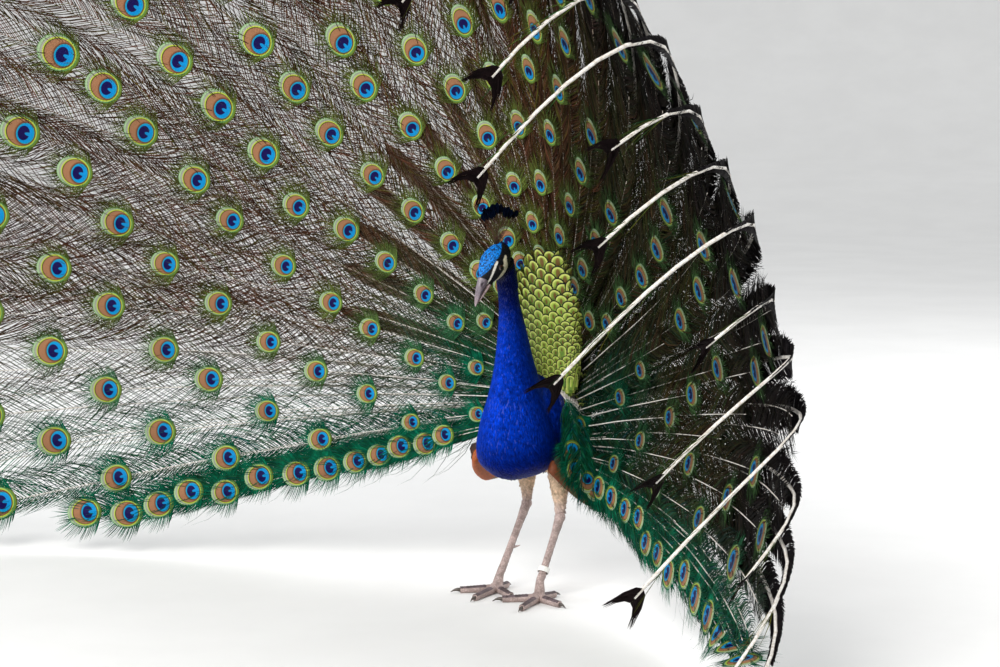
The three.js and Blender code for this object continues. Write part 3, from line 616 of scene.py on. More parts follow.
def eyeball_finish():
    """The wet eye."""
    look = Finish("eyeball")
    patches = look.use(MOTTLE, Place=look.object_place(), Scale=900.0, Colour=look.tint(), Amount=0.3)
    look.set(Base_Color=patches["Colour"], Roughness=0.12, Specular_IOR_Level=0.6)
    look.set(Coat_Weight=1.0, Coat_Roughness=0.03)
    return look.material


def band_finish():
    """Scuffed white plastic of the leg ring."""
    look = Finish("leg_band")
    scuffs = look.noise(look.object_place(), 500.0, 5.0)
    paint = look.blend(look.span(scuffs, 0.5, 0.75), colour(0.93, 0.93, 0.91), colour(0.72, 0.70, 0.66))
    look.set(Base_Color=paint, Roughness=look.span(scuffs, 0.3, 0.8, 0.3, 0.5))
    return look.material


BARB_LOOK = barb_finish()
EYE_LOOK = eye_finish()
QUILL_LOOK = shaft_finish()
BLUE_LOOK = plumage_finish("blue_plumage", 0.4, 0.25, 7.0, gloss=0.05, metal=0.6, dark=0.7,
                           glow=colour(0.0, 0.35, 1.0))
FACE_LOOK = plumage_finish("face_plumage", 0.5, 0.05, 5.0, gloss=0.03, glow=colour(0.3, 0.6, 1.0))
BUFF_LOOK = plumage_finish("buff_plumage", 0.8, 0.1, 9.0, gloss=0.1, dark=0.88)
DOWN_LOOK = plumage_finish("down", 0.85, 0.3, 9.0, gloss=0.15, dark=0.7)
SCALE_LOOK = scale_finish()
CREST_LOOK = plumage_finish("crest_plumage", 0.5, 0.0, 12.0, gloss=0.08)
WING_LOOK = flight_finish("wing_coverts", colour(0.66, 0.55, 0.42), colour(0.16, 0.11, 0.08), 11.0, 0.85)
CHESTNUT_LOOK = flight_finish("chestnut_quills", colour(0.78, 0.42, 0.20), colour(0.55, 0.28, 0.13),
                              3.0, 0.35)
# The tail is painted paler than its own dull brown, as painted light from behind.
TAIL_LOOK = flight_finish("tail_quills", colour(0.60, 0.54, 0.48), colour(0.42, 0.36, 0.31), 16.0, 0.5)
SKIN_LOOK = skin_finish()
HORN_LOOK = horn_finish("bill_horn", colour(0.57, 0.53, 0.57), colour(0.47, 0.43, 0.46), 0.28)
CLAW_LOOK = horn_finish("claw_horn", colour(0.34, 0.30, 0.27), colour(0.20, 0.17, 0.15), 0.35)
LEG_LOOK = leg_finish()
EYEBALL_LOOK = eyeball_finish()
BAND_LOOK = band_finish()


# ---- camera, light and floor -----------------------------------------------------

# Places and sizes are in metres here, turns in degrees and powers in watts.
CAMERA_PLACE = (2.0437, -3.3797, 0.8)
CAMERA_TURN = (84.294, 0.0, 32.0)
LENS = 96.0
SENSOR = 36.0
AIR_TONE = (0.93, 0.94, 0.96, 1.0)
AIR_POWER = 0.8
LIGHT_TARGET = Vector((-0.1, -0.1, 0.6))
# Each light is its name, place, size, power and tone.
LIGHTS = [
    ("key", (0.8, -4.6, 3.6), 2.6, 260.0, (1.0, 0.98, 0.95)),
    ("side", (-3.6, -2.6, 2.2), 2.4, 70.0, (0.95, 0.97, 1.0)),
    ("back", (1.5, 3.4, 2.8), 2.6, 90.0, (1.0, 1.0, 1.0)),
]
# The floor turns up into a round wall: radius and height, from the top down.
FLOOR_RINGS = [(14.0, 8.0), (13.9, 5.0), (13.4, 2.6), (12.4, 1.1), (11.0, 0.3), (9.0, 0.0)]
FLOOR_PAINT = colour(0.93, 0.93, 0.925)


def camera_and_lights():
    bpy.context.scene.view_settings.view_transform = "Standard"
    turn = tuple(math.radians(angle) for angle in CAMERA_TURN)
    bpy.ops.object.camera_add(location=CAMERA_PLACE, rotation=turn)
    camera = bpy.context.object
    camera.data.lens = LENS
    camera.data.sensor_width = SENSOR
    bpy.context.scene.camera = camera

    world = bpy.data.worlds.new("studio_air")
    bpy.context.scene.world = world
    world.use_nodes = True
    air = world.node_tree.nodes["Background"]
    air.inputs[0].default_value = AIR_TONE
    air.inputs[1].default_value = AIR_POWER

    for name, place, size, power, tone in LIGHTS:
        bpy.ops.object.light_add(type="AREA", location=place)
        lamp = bpy.context.object
        lamp.name = name
        lamp.data.size = size
        lamp.data.energy = power
        lamp.data.color = tone
        lamp.rotation_euler = (LIGHT_TARGET - Vector(place)).to_track_quat("-Z", "Y").to_euler()


def studio_floor():
    radius, top = FLOOR_RINGS[0]
    bpy.ops.mesh.primitive_circle_add(vertices=72, radius=radius, location=(0.0, 0.0, top))
    floor = bpy.context.object
    floor.name = "floor"
    bpy.ops.object.transform_apply(location=True)
    bpy.ops.object.mode_set(mode="EDIT")
    bpy.ops.mesh.select_all(action="SELECT")
    for (wide, high), (narrow, low) in zip(FLOOR_RINGS[:-1], FLOOR_RINGS[1:]):
        bpy.ops.mesh.extrude_region_move(TRANSFORM_OT_translate={"value": (0.0, 0.0, low - high)})
        bpy.ops.transform.resize(value=(narrow / wide, narrow / wide, 1.0), center_override=(0.0, 0.0, low))
    bpy.ops.mesh.edge_face_add()
    bpy.ops.object.mode_set(mode="OBJECT")
    face_out(inside=True)
    bpy.ops.object.shade_smooth()
    look = Finish("pale_floor")
    patches = look.use(MOTTLE, Place=look.object_place(), Scale=3.0, Colour=FLOOR_PAINT, Amount=0.02)
    look.set(Base_Color=patches["Colour"], Roughness=0.85)
    floor.data.materials.append(look.material)


# ---- the fan's lines --------------------------------------------------------------
# The fan is described by an angle in degrees from straight up, positive towards
# the bird's left, and by a distance along each feather's shaft.

FAN_CENTRE = np.array([15.5, 112.0, 295.0])
FAN_TURN = math.radians(8.0)
# Shafts start on a ring of this radius. It is raised at its top, and dropped at
# the lower end of its left side.
RING, RISE, LEFT_DROP = 50.0, 80.0, 65.0
FORWARD = np.array([-math.sin(FAN_TURN), -math.cos(FAN_TURN), 0.0])
LEFTWARD = np.array([math.cos(FAN_TURN), -math.sin(FAN_TURN), 0.0])
UP = np.array([0.0, 0.0, 1.0])
STEP = 20.0
STEPS = 78
ALONG = np.arange(STEPS) * STEP
REACH = 1300.0
# The left side turns over between these places on its shafts, and its vanes twist
# by this many degrees a little before.
FOLD = (840.0, 1240.0)
TWIST = (820.0, 1040.0)
FOLD_TWIST = 62.0
# Shafts stop sinking towards the floor near this height.
CLEAR_HEIGHT = 45.0


def fan_point(across, behind, height):
    """A place given by how far it is to the left of and behind the fan's centre."""
    return FAN_CENTRE * [1, 1, 0] + LEFTWARD * across - FORWARD * behind + UP * height


def fan_lines(degrees):
    """The lines of shafts at the given angles: angles x steps x 3."""
    angle = np.radians(degrees)[:, None]
    side = np.sin(angle)
    out = UP * np.cos(angle) + LEFTWARD * side
    drop = LEFT_DROP * smooth(40, 100, degrees)[:, None]
    height = FAN_CENTRE[2] + (RING + RISE) * np.cos(angle) - drop
    spot = FAN_CENTRE * [1, 1, 0] + LEFTWARD * RING * side + UP * height
    left = smooth(-25, 45, degrees)[:, None]
    low = smooth(45, 100, degrees)[:, None]
    far = smooth(0, 90, -degrees)[:, None]
    base = smooth(78, 106, degrees)[:, None]
    # How many degrees a shaft leans forward at its start and end, and by how much
    # more where it turns over, and how steeply it falls there.
    start = mix(mix(2.0, 8.0, far), mix(18.0, 24.0, base), left)
    end = mix(mix(34.0, 50.0, far), mix(62.0, 56.0, low), left)
    full_lean = mix(1350.0, 1050.0, left)
    turn = mix(mix(82.0, 78.0, low), 34.0, base)
    fall = mix(mix(0.35, 1.0, low), 1.15, base)
    line = []
    for s in ALONG:
        line.append(spot.copy())
        fold = left * smooth(*FOLD, s)
        lean = np.radians(mix(start, end, np.minimum(1.0, s / full_lean)) + turn * fold)
        along = out * np.cos(lean) + FORWARD * np.sin(lean)
        held = low * left * (1 - smooth(0.46, 0.77, s / REACH))
        along[:, 2:] += 0.1 * (held - np.abs(side) * s / REACH) - fall * fold
        along = unit(along)
        steepest = -(spot[:, 2:] - CLEAR_HEIGHT) * 0.007
        along[:, 2:] = np.maximum(along[:, 2:], steepest)
        spot = spot + unit(along) * STEP
    return np.array(line).transpose(1, 0, 2)


# Feathers of these lengths lie in layers, the shortest in front.
LAYER_LENGTHS = [170.0, 310.0, 460.0, 620.0, 780.0, 940.0, 1100.0, 1260.0, 1380.0]


def lift_of(reach):
    """How many layers a feather of this length lies in front of the longest."""
    return float(np.interp(reach, LAYER_LENGTHS, np.arange(len(LAYER_LENGTHS))[::-1]))


class Course:
    """The course of one feather: places given by (across, along, out) of its shaft."""

    def __init__(self, line, across):
        self.line = line
        self.along = unit(np.gradient(line, axis=0))
        self.across = unit(across - self.along * (across * self.along).sum(1, keepdims=True))
        self.out = np.cross(self.across, self.along)

    def at(self, u, v, w):
        place = v / STEP
        inside = np.clip(place, 0, STEPS - 1.001)
        i = inside.astype(int)
        t = (inside - i)[:, None]
        past = ((place - inside) * STEP)[:, None]

        def here(rows):
            return rows[i] * (1 - t) + rows[i + 1] * t

        return (here(self.line) + unit(here(self.along)) * past
                + unit(here(self.across)) * u[:, None] + unit(here(self.out)) * w[:, None])


def fan_course(degrees, lift, folded=False, sway=0.0):
    """The course of a feather of the fan, set out in front of the longest ones, and
    bowed sideways by its sway."""
    before, line, after = fan_lines(np.array([degrees - 1.0, degrees, degrees + 1.0]))
    angle = math.radians(degrees)
    around = -UP * math.sin(angle) + LEFTWARD * math.cos(angle)
    course = Course(line, mix(around, unit(after - before), smooth(0, 120, ALONG)[:, None]))
    across, out = course.across, course.out
    if folded:
        twist = np.radians(FOLD_TWIST) * smooth(*TWIST, ALONG)[:, None]
        course.across = across * np.cos(twist) + out * np.sin(twist)
        course.out = out * np.cos(twist) - across * np.sin(twist)
    part = (ALONG / REACH)[:, None]
    course.line = line + course.out * lift * mix(5.0, 4.6, part) + course.across * sway * part ** 2
    return course


def hip_course(root, end):
    """The course of a short feather that hangs over the hip, arched outwards."""
    part = ALONG / np.linalg.norm(end - root)
    bow = np.maximum(4 * part * (1 - part), -1.0)[:, None]
    line = root + (end - root) * part[:, None] + bow * HIP_BOW * HIP_OUT
    along = unit(np.gradient(line, axis=0))
    return Course(line, np.cross(along, HIP_OUT))


# ---- the train ---------------------------------------------------------------------

SECTORS = ["right_low", "right_mid", "right_high", "left_high", "left_mid", "left_low"]
FAN_EDGE = 104.0
# Each tier is the length of its feathers, how many there are round the fan, and
# the half height of their eyes. The last two have a flared end and no eye, and
# on the left so have all the long ones that fold over towards the front.
TIERS = [
    (115, 11, 15.5), (165, 10, 17), (235, 12, 18.5), (320, 14, 20.5), (410, 16, 22), (505, 18, 24),
    (600, 19, 26), (700, 20, 28), (800, 21, 29.5), (900, 22, 31), (1000, 23, 32.5), (1100, 24, 33.5),
    (1190, 24, 34), (1275, 24, 34), (1325, 20, 0), (1365, 21, 0),
]
FOLDED = [(1120, 7), (1215, 7), (1300, 7)]
LONGEST_UNFOLDED = 950
FOLD_START = -14.0
# The share of the left side's feathers that show their eyes, near and far.
LEFT_EYES = (0.8, 0.42)
# The closely set feathers of the two lower edges: angles, and lengths from the
# shortest to the longest. Feathers without eyes fill in above the left edge.
EDGES = [((-103.6, -105.6), (185, 900)), ((107.0, 113.0), (130, 860))]
EDGE_EYES = (19.0, 27.5)
EDGE_GAPS = (44.0, 84.0)
EDGE_FILL = ((102.5, 109.0), (330, 900, 34.0))
# Short feathers over the left hip: where the first and last are rooted, how far
# they stand out, and where their eyes lie.
HIP_ROOTS = np.array([(50, 30, 312), (58, 60, 292), (62, 102, 262)], float)
HIP_EYES = np.array([(80, 30, 262), (86, -4, 214), (103, 8, 187), (113, 26, 166), (123, 52, 152),
                     (130, 95, 122)], float)
HIP_OUT = unit(np.array([1.0, -0.45, 0.15]))
HIP_BOW = 9.0
HIP_DEGREES = 110.0
# The places of barbs on a shaft are this far apart, in close and in open vanes.
BARB_GAPS = (3.1, 5.3)
# Barbs and short strips have their corners at these shares of their length.
BARB_CUTS = np.array([0.0, 0.36, 0.7, 1.0])
BARB_BEND = 0.48
# The baking map of the train runs across by angle and up by the place on a shaft.
MAP_DEGREES = 214.0
MAP_REACH = 1450.0
BRONZE = colour(0.33, 0.20, 0.14)
BROWN = colour(0.17, 0.10, 0.075)
OLIVE = colour(0.26, 0.25, 0.07)
MOSS = colour(0.09, 0.25, 0.12)
EMERALD = colour(0.02, 0.34, 0.24)
TEAL = colour(0.03, 0.28, 0.28)
# The dull back of turned feathers, darkened to near black as painted shade.
SHADED_BACK = colour(0.05, 0.035, 0.045)
HOOK = colour(0.07, 0.04, 0.045)


def train_feathers():
    """Every feather of the train as (degrees, length, eye's half height, kind of end)."""
    feathers = []
    for tier, (length, count, eye) in enumerate(TIERS):
        for i in range(count):
            part = (i + 0.5 + (0.25 if tier % 2 else -0.25)) / count
            degrees = mix(-FAN_EDGE + 1.0, FAN_EDGE - 1.0, part) + chance.uniform(-0.9, 0.9)
            if length < LONGEST_UNFOLDED or degrees < FOLD_START:
                hidden = degrees > 8 and chance.uniform() > LEFT_EYES[int(length > 450)]
                kind = "plain" if hidden else ("eye" if eye else "flared")
                feathers.append((degrees, length * chance.uniform(0.975, 1.02), 0 if hidden else eye, kind))
    for angles, lengths in EDGES:
        length = lengths[0]
        while length < lengths[1]:
            part = (length - lengths[0]) / (lengths[1] - lengths[0])
            degrees = mix(*angles, chance.uniform(0.0, 1.0))
            feathers.append((degrees, length, mix(*EDGE_EYES, part), "edge"))
            length += mix(*EDGE_GAPS, part) * chance.uniform(0.8, 1.2)
    for length in np.arange(*EDGE_FILL[1]):
        feathers.append((chance.uniform(*EDGE_FILL[0]), length, 0, "plain"))
    for tier, (length, count) in enumerate(FOLDED):
        for i in range(count):
            degrees = mix(FOLD_START, FAN_EDGE - 1.0, (i + 0.2 + 0.3 * tier) / count)
            feathers.append((degrees, length * chance.uniform(0.98, 1.01), 0, "folded"))
    return feathers


def off_edges(degrees, low, high):
    """1 over most of the fan, and 0 along its lower edges."""
    return 1 - smooth(low, high, np.abs(degrees))


def greenness(degrees, s):
    """How green the train is: full along its lower edges, and some near the body."""
    near = 0.8 * (1 - smooth(90, 420, s)) * smooth(40, 80, np.abs(degrees))
    right = smooth(76, 101, -degrees) ** 1.3
    left = 0.3 * smooth(0, 45, degrees) + 0.7 * smooth(97, 106, degrees)
    return np.maximum(near, np.maximum(right, left))


def barb_tint(degrees, s, number):
    """Bronze and brown above, moss and emerald below, brighter by chance. The left side
    is painted darker as painted shade, and nearly black where it turns over: the
    feathers' dull back, darkened further as painted shade."""
    green = np.clip(greenness(degrees, s) + chance.normal(0, 0.12, number), 0, 1)[:, None]
    base = mix(BROWN, BRONZE, spread(0, 1, number))
    base = mix(base, OLIVE, (spread(0, 1, number) < 0.22) * 0.8)
    rich = mix(MOSS, EMERALD, np.clip(green * spread(0.2, 1.4, number), 0, 1))
    rich = mix(rich, TEAL, (spread(0, 1, number) < 0.2) * green)
    tint = mix(base, rich, green) * spread(0.45, 1.25, number)
    # Painted shade: the left side, apart from its lower edge, is painted darker.
    tint = tint * mix(1.0, 0.5, smooth(0, 40, degrees) * off_edges(degrees, 98, 107))
    # Painted shade: where the left side turns over, the feathers' back is painted near black.
    turned_and_shaded = smooth(-16, 8, degrees) * smooth(400, 640, s)[:, None] * off_edges(degrees, 98, 106)
    tint = mix(tint, SHADED_BACK * spread(0.6, 1.6, number), 0.85 * turned_and_shaded)
    return tint[:, None] * mix(1.0, 0.8, BARB_CUTS[None, :, None])


def on_map(degrees, s, shift=0.0):
    """Where parts of the train lie on its baking map."""
    return np.stack(np.broadcast_arrays(degrees / MAP_DEGREES + 0.5 + shift, s / MAP_REACH), -1)


def ribbons(sheaf, course, u, v, w, half, tint, bake):
    """Thin strips that end in a point. u, v and w are strips x stations."""
    number, stations = u.shape
    du, dv = np.gradient(u, axis=1), np.gradient(v, axis=1)
    size = np.maximum(np.hypot(du, dv), 1e-6)
    twist = spread(-0.5, 0.5, number)
    nu, nv, nw = -dv / size * np.cos(twist), du / size * np.cos(twist), np.sin(twist)
    left = [u + nu * half, v + nv * half, w + nw * half]
    right = [u - nu * half, v - nv * half, w - nw * half]
    corners = 2 * stations - 1
    flat = np.empty((number, corners, 3))
    for axis in range(3):
        flat[:, 0:-1:2, axis] = left[axis][:, :-1]
        flat[:, 1:-1:2, axis] = right[axis][:, :-1]
        flat[:, -1, axis] = (u, v, w)[axis][:, -1]
    points = course.at(*flat.reshape(-1, 3).T)
    base = (np.arange(number) * corners)[:, None]
    quads = []
    for i in range(stations - 2):
        quads.append(base + np.array([2 * i, 2 * i + 1, 2 * i + 3, 2 * i + 2]))
    tris = base + np.array([corners - 3, corners - 2, corners - 1])
    shade = np.repeat(tint, 2, axis=1)[:, :corners]
    own = np.tile(np.c_[np.zeros(corners), np.linspace(0, 1, corners)], (number, 1))
    patch = bake[:, None] + BAKE_PATCH * np.c_[np.arange(corners) % 2, np.linspace(0, 1, corners)]
    sheaf.add(points, np.concatenate(quads), tris, shade.reshape(-1, 3), own, patch.reshape(-1, 2))


def add_barbs(sheaf, course, degrees, side, s, length, slant, half, drift, tint=None):
    """Barbs that leave the shaft at s, on one side, and bend towards its end."""
    number = len(s)
    q = BARB_CUTS
    bend = chance.normal(BARB_BEND, 0.05, number)
    angle = slant[:, None] * (1 - bend[:, None] * q[None])
    u = side * length[:, None] * np.sin(angle) * q[None]
    v = s[:, None] + length[:, None] * np.cos(angle) * q[None]
    w = chance.normal(0, drift, number)[:, None] * q[None] ** 2
    wide = half[:, None] * np.array([1.0, 0.95, 0.6, 0.0])[None]
    if tint is None:
        tint = barb_tint(degrees, s, number)
    else:
        tint = (tint * spread(0.6, 1.4, number))[:, None] * np.ones((1, 4, 1))
    bake = on_map(degrees + side * 0.4, s, chance.uniform(-0.002, 0.002, number))
    ribbons(sheaf, course, u, v, w, wide, tint, bake)


def openness(degrees, s):
    """How open the vanes are: most in the outer fan of the right side, least along
    the lower edges and on the left side."""
    right = mix(1.0, 0.1, smooth(-22, 2, degrees))
    return smooth(60, 330, s) * off_edges(degrees, 98, 105) * right


def bareness(reach, s):
    """How short and sparse the barbs are on the long stem below a vane."""
    return smooth(230, 560, reach - s) * smooth(80, 200, s)


def darkness(degrees):
    """The left side is shaded and dense, apart from its lower edge."""
    return smooth(-22, 6, degrees)


def thinness(degrees):
    """The vanes just above the lower edge of the right side are the thinnest."""
    return smooth(78, 91, -degrees) * off_edges(degrees, 98, 102)


def barb_places(degrees, start, stop, reach, kind):
    """Where barbs leave a shaft: close along the lower edges, wider apart in the
    outer fan, and sparse on the stem."""
    grid = np.linspace(start, stop, 120)
    light = (1 - darkness(degrees)) * off_edges(degrees, 95, 103)
    bare = bareness(reach, grid) * mix(0.9, 2.6, light)
    root = smooth(60, 160, grid) * (1 - smooth(360, 640, grid))
    gap = mix(*BARB_GAPS, openness(degrees, grid)) * (1 + bare) * (1 + 0.5 * light * root)
    gap = gap * (1 + 0.5 * thinness(degrees) * smooth(260, 460, grid))
    gap = gap * QUICK_GAP * (0.62 if kind in ("edge", "hip") else 1.0)
    passed = np.concatenate([[0.0], np.cumsum(np.diff(grid) / gap[1:])])
    places = np.arange(0.5, passed[-1])
    return np.interp(places + chance.uniform(-0.2, 0.2, len(places)), passed, grid)


def loose_barbs(sheaf, course, degrees, reach, eye, kind, tilt=0.0):
    """The long loose barbs on both sides of a shaft. Its tilt turns them all a
    little to one side, so that neighbouring feathers cross like a weave."""
    full = min(1.0, 0.62 + reach / 2600.0) * mix(1.0, 0.5, smooth(97, 105, abs(degrees)))
    full = 0.95 if kind == "hip" else full
    low_right = mix(1.0, 1.25, smooth(50, 80, -degrees))
    thick = mix(1.0, 1.2, darkness(degrees)) * mix(1.0, 0.72, thinness(degrees))
    stop = reach - 0.95 * eye if eye else reach - (18.0 if kind == "plain" else 22.0)
    for side in (-1, 1):
        s = barb_places(degrees, 12.0, stop, reach, kind)
        lower = side * degrees > 98
        if kind == "folded":
            s = s[chance.uniform(0, 1, len(s)) > smooth(700, 770, s)]
        number = len(s)
        length = full * mix(28.0, 130.0, smooth(0, 330, s)) * low_right
        length = length * chance.uniform(0.88, 1.1, number)
        length = length * (1 - mix(0.45, 0.25, darkness(degrees)) * bareness(reach, s))
        if lower:
            length = length * mix(1.8 if side > 0 else 1.0, 0.5, smooth(220, 380, s))
        stray = np.where(chance.uniform(0, 1, number) < 0.1, 2.5 if kind == "folded" else 10.0, 2.2)
        slant = np.radians(mix(48.0, 42.0, s / reach) + chance.normal(0, 1, number) * stray) + side * tilt
        if eye:
            near = 1 - smooth(0, 60, stop - s)
            slant = mix(slant, np.radians(30.0) + chance.normal(0, 0.06, number), near)
            length = mix(length, (0.9 * eye + 20) * chance.uniform(0.8, 1.15, number), near)
        else:
            length = length * mix(1.0, 0.45, smooth(reach - 120, reach, s))
        half = chance.uniform(0.55, 0.78, number) * thick * mix(0.84, 1.0, smooth(160, 520, s))
        add_barbs(sheaf, course, degrees, side, s, length, slant, half, 2.8)
        if lower and kind == "edge":
            strays(sheaf, course, degrees, side, reach)
        if kind == "folded":
            dark_bend(sheaf, course, degrees, side)
            wisps(sheaf, course, degrees, side, reach)
        if kind in ("folded", "flared"):
            flared_end(sheaf, course, degrees, side, reach, kind == "folded")


def strays(sheaf, course, degrees, side, reach):
    """Single long barbs that hang below the lower edge of the train."""
    number = 5
    s = chance.uniform(0.25, 0.95, number) * reach
    length = chance.uniform(60.0, 120.0, number)
    slant = np.radians(chance.uniform(20.0, 62.0, number))
    tint = mix(MOSS * 0.5, EMERALD * 0.5, spread(0, 1, number))
    half = chance.uniform(0.3, 0.45, number)
    add_barbs(sheaf, course, degrees, side, s, length, slant, half, 14.0, tint)


def dark_bend(sheaf, course, degrees, side):
    """The close vane where a long feather of the left side turns over, painted near
    black: its dull back, with painted shade. Its margin is even, so that it shows
    as a smooth lobe from outside."""
    s = np.arange(420.0, 1015.0, 2.6 * QUICK_GAP)
    number = len(s)
    length = 66.0 * smooth(400, 520, s) * mix(1.0, 0.22, smooth(740, 1000, s))
    slant = np.radians(mix(50.0, 44.0, smooth(770, 900, s)) + chance.normal(0, 0.7, number))
    near = (1 - smooth(440, 640, s))[:, None]
    tint = mix(SHADED_BACK, MOSS * 0.3, near) * spread(0.8, 1.25, number)
    half = chance.uniform(1.5, 1.9, number)
    add_barbs(sheaf, course, degrees, side, s, length, slant, half, 0.5, tint)


def wisps(sheaf, course, degrees, side, reach):
    """A few long pale barbs that trail near the end of a turned feather."""
    number = 7
    s = chance.uniform(max(reach - 190, 1010.0), reach - 40, number)
    length = chance.uniform(45.0, 85.0, number)
    slant = np.radians(chance.uniform(8.0, 24.0, number))
    tint = mix(OLIVE * 1.5, MOSS * 1.3, spread(0, 1, number))
    half = chance.uniform(0.4, 0.7, number)
    add_barbs(sheaf, course, degrees, side, s, length, slant, half, 9.0, tint)


def flared_end(sheaf, course, degrees, side, reach, folded):
    """Half of the dense crescent at the end of a feather without an eye: its
    barbs leave the shaft close together, bend forwards and meet in a point."""
    number = 20
    part = np.linspace(0, 1, number)[:, None]
    q = np.array([[0.0, 0.3, 0.65, 1.0]])
    root = reach - 24 + 20 * part
    across = 19.0 * 2 * q * (1 - q) + 33.0 * q ** 2
    ahead = (root + 1.0) * 2 * q * (1 - q) + (reach + 17.0 + 6.0 * part) * q ** 2
    u = side * across * spread(0.9, 1.05, number)
    v = root * (1 - q) ** 2 + ahead
    w = chance.normal(0, 1.2, (number, 1)) * q ** 2
    half = spread(1.1, 1.5, number) * np.array([[1.0, 1.0, 0.7, 0.0]])
    # Folded ends show their dull back, painted near black as painted shade.
    tint = (HOOK if folded else MOSS * 0.7) * spread(0.6, 1.4, number)
    tint = np.repeat(tint[:, None], 4, axis=1)
    ribbons(sheaf, course, u, v, w, half, tint, on_map(degrees + side * 0.4, root[:, 0]))


WHITE = np.array([[1.0, 1.0, 1.0]])
SHAFT_BROWN = np.array([[0.34, 0.26, 0.18]])
# Shafts are square rods, and this is where their four edges lie.
SHAFT_TURNS = np.radians([45, 135, 225, 315])


def shaft(sheaf, course, degrees, reach, eye, folded):
    """A white shaft, thick at its root and thin at its end. It browns outwards in
    the open fan, and stands out in front of the barbs where it shows white."""
    end = reach - (0.7 * eye if eye else 10.0)
    stations = np.concatenate([[-12.0], np.linspace(6, end, max(5, int(end / 48)))])
    part = np.clip(stations / end, 0, 1)
    edge = float(smooth(68, 88, abs(degrees)))
    thick = mix(0.7, 1.0, min(1.0, reach / 900.0)) * mix(1.5, 0.5, part ** 0.7) * (1 + 0.3 * edge)
    if folded:
        thick = mix(3.6, 2.1, part ** 1.5)
    u = (thick[:, None] * np.cos(SHAFT_TURNS)).ravel()
    before_eye = 1 - smooth(reach - 100, reach - 70, stations)
    raised = np.full(len(stations), 0.6) if folded else mix(-0.8, 1.2, edge * before_eye)
    w = (thick[:, None] * np.sin(SHAFT_TURNS) + raised[:, None]).ravel()
    points = course.at(u, np.repeat(stations, 4), w)
    quads = tube_faces(len(stations), 4)
    last = 4 * (len(stations) - 1)
    quads += [(3, 2, 1, 0), (last, last + 1, last + 2, last + 3)]
    white = 1.0 if folded else max(edge, float(smooth(25, 60, degrees)))
    most_brown = 0.0 if folded else mix(0.9, 0.1, white)
    tint = mix(WHITE, SHAFT_BROWN, smooth(90, 420, stations)[:, None] * most_brown)
    sides = np.tile([0, 1, 2, 3], len(stations))
    bake = on_map(degrees, np.repeat(stations, 4), 0.0006 * sides)
    sheaf.add(points, quads, [], np.repeat(tint, 4, axis=0), np.c_[sides, np.repeat(part, 4)], bake)


def eye_edge(t):
    """The margin of half an eye, from its base round to its tip."""
    return math.sin(math.pi * t) * (0.93 + 0.04 * t), -1.04 * math.cos(math.pi * t)


def eye_root(t):
    return mix(-1.04, 0.78, t ** 1.15)


EYE_PATTERN = web(18, eye_edge, eye_root, lift=0.012, crown=0.07)
# The eyes lie on a board of this many cells each way on their baking map.
EYE_CELLS = 16


def train_eye(sheaf, fringe, course, degrees, reach, eye, number):
    """The eye at the end of a feather, and the loose fringe round it."""
    x, y, z = EYE_PATTERN.points.T
    outer = smooth(50, 75, abs(degrees)) * off_edges(degrees, 99, 102)
    size = eye * chance.uniform(1.02, 1.12) * mix(1.0, 0.86, outer)
    middle = reach - size
    points = course.at(x * size, middle + y * size, z * size + 1.3)
    cell = np.array([number % EYE_CELLS, number // EYE_CELLS])
    bake = (cell + EYE_PATTERN.points[:, :2] * 0.46 + 0.5) / EYE_CELLS
    # Painted shade: eyes and fringe on the left side are painted darker.
    shaded = smooth(0, 30, degrees) * off_edges(degrees, 98, 107)
    tint = np.full(3, mix(1.0, 0.52, shaded) * chance.uniform(0.88, 1.06))
    sheaf.add(points, EYE_PATTERN.quads, EYE_PATTERN.tris, tint, EYE_PATTERN.points[:, :2], bake)

    count = 48
    t = np.tile((np.arange(count) + chance.uniform(0.1, 0.9, count)) / count, 2)
    side = np.repeat([-1.0, 1.0], count)
    margin = np.array([eye_edge(part) for part in t])
    root = np.array([eye_root(part) for part in t])
    q = np.array([0.0, 0.4, 0.75, 1.0])
    start = np.c_[margin[:, 0] * 0.86, root + (margin[:, 1] - root) * 0.86]
    heading = unit(np.c_[margin[:, 0], margin[:, 1] - root + 0.25])
    length = (18.0 + 0.3 * size) * chance.uniform(0.6, 1.2, 2 * count)
    u = side[:, None] * (start[:, :1] * size + heading[:, :1] * length[:, None] * q[None])
    v = middle + start[:, 1:] * size + length[:, None] * (heading[:, 1:] * q[None] + 0.12 * q[None] ** 2)
    w = 0.6 + chance.normal(0, 1.6, 2 * count)[:, None] * q[None] ** 2
    half = chance.uniform(0.42, 0.68, 2 * count)[:, None] * np.array([1.0, 0.9, 0.55, 0.0])[None]
    green = np.clip(greenness(degrees, reach) * 1.2 + 0.1, 0, 1)
    tint = mix(mix(OLIVE * 1.7, MOSS * 1.1, 0.35), EMERALD * 0.9, green)
    tint = tint * mix(1.0, 0.5, shaded) * spread(0.5, 1.4, 2 * count)
    tint = np.repeat(tint[:, None], 4, axis=1)
    bake = on_map(degrees, reach, 0.003 * (t - 0.5)) + [0.0, 0.004]
    ribbons(fringe, course, u, v, w, half, tint, bake)


def hip_feathers(barbs, shafts, eyes):
    """Short feathers that hang over the left hip and thigh."""
    count = 15
    roots, ends = along_points(HIP_ROOTS, count), along_points(HIP_EYES, count)
    for i in range(count):
        end = ends[i] + chance.normal(0, 2.0, 3) + HIP_OUT * (1.5 * (i % 3))
        course = hip_course(roots[i], end)
        reach = np.linalg.norm(end - roots[i]) + 18
        eye = 17.0 if i % 2 == 0 else 0
        loose_barbs(barbs, course, HIP_DEGREES, reach, eye, "hip")
        shaft(shafts, course, HIP_DEGREES, reach, eye, False)
        if eye:
            train_eye(eyes, barbs, course, HIP_DEGREES, reach, eye, 200 + i)


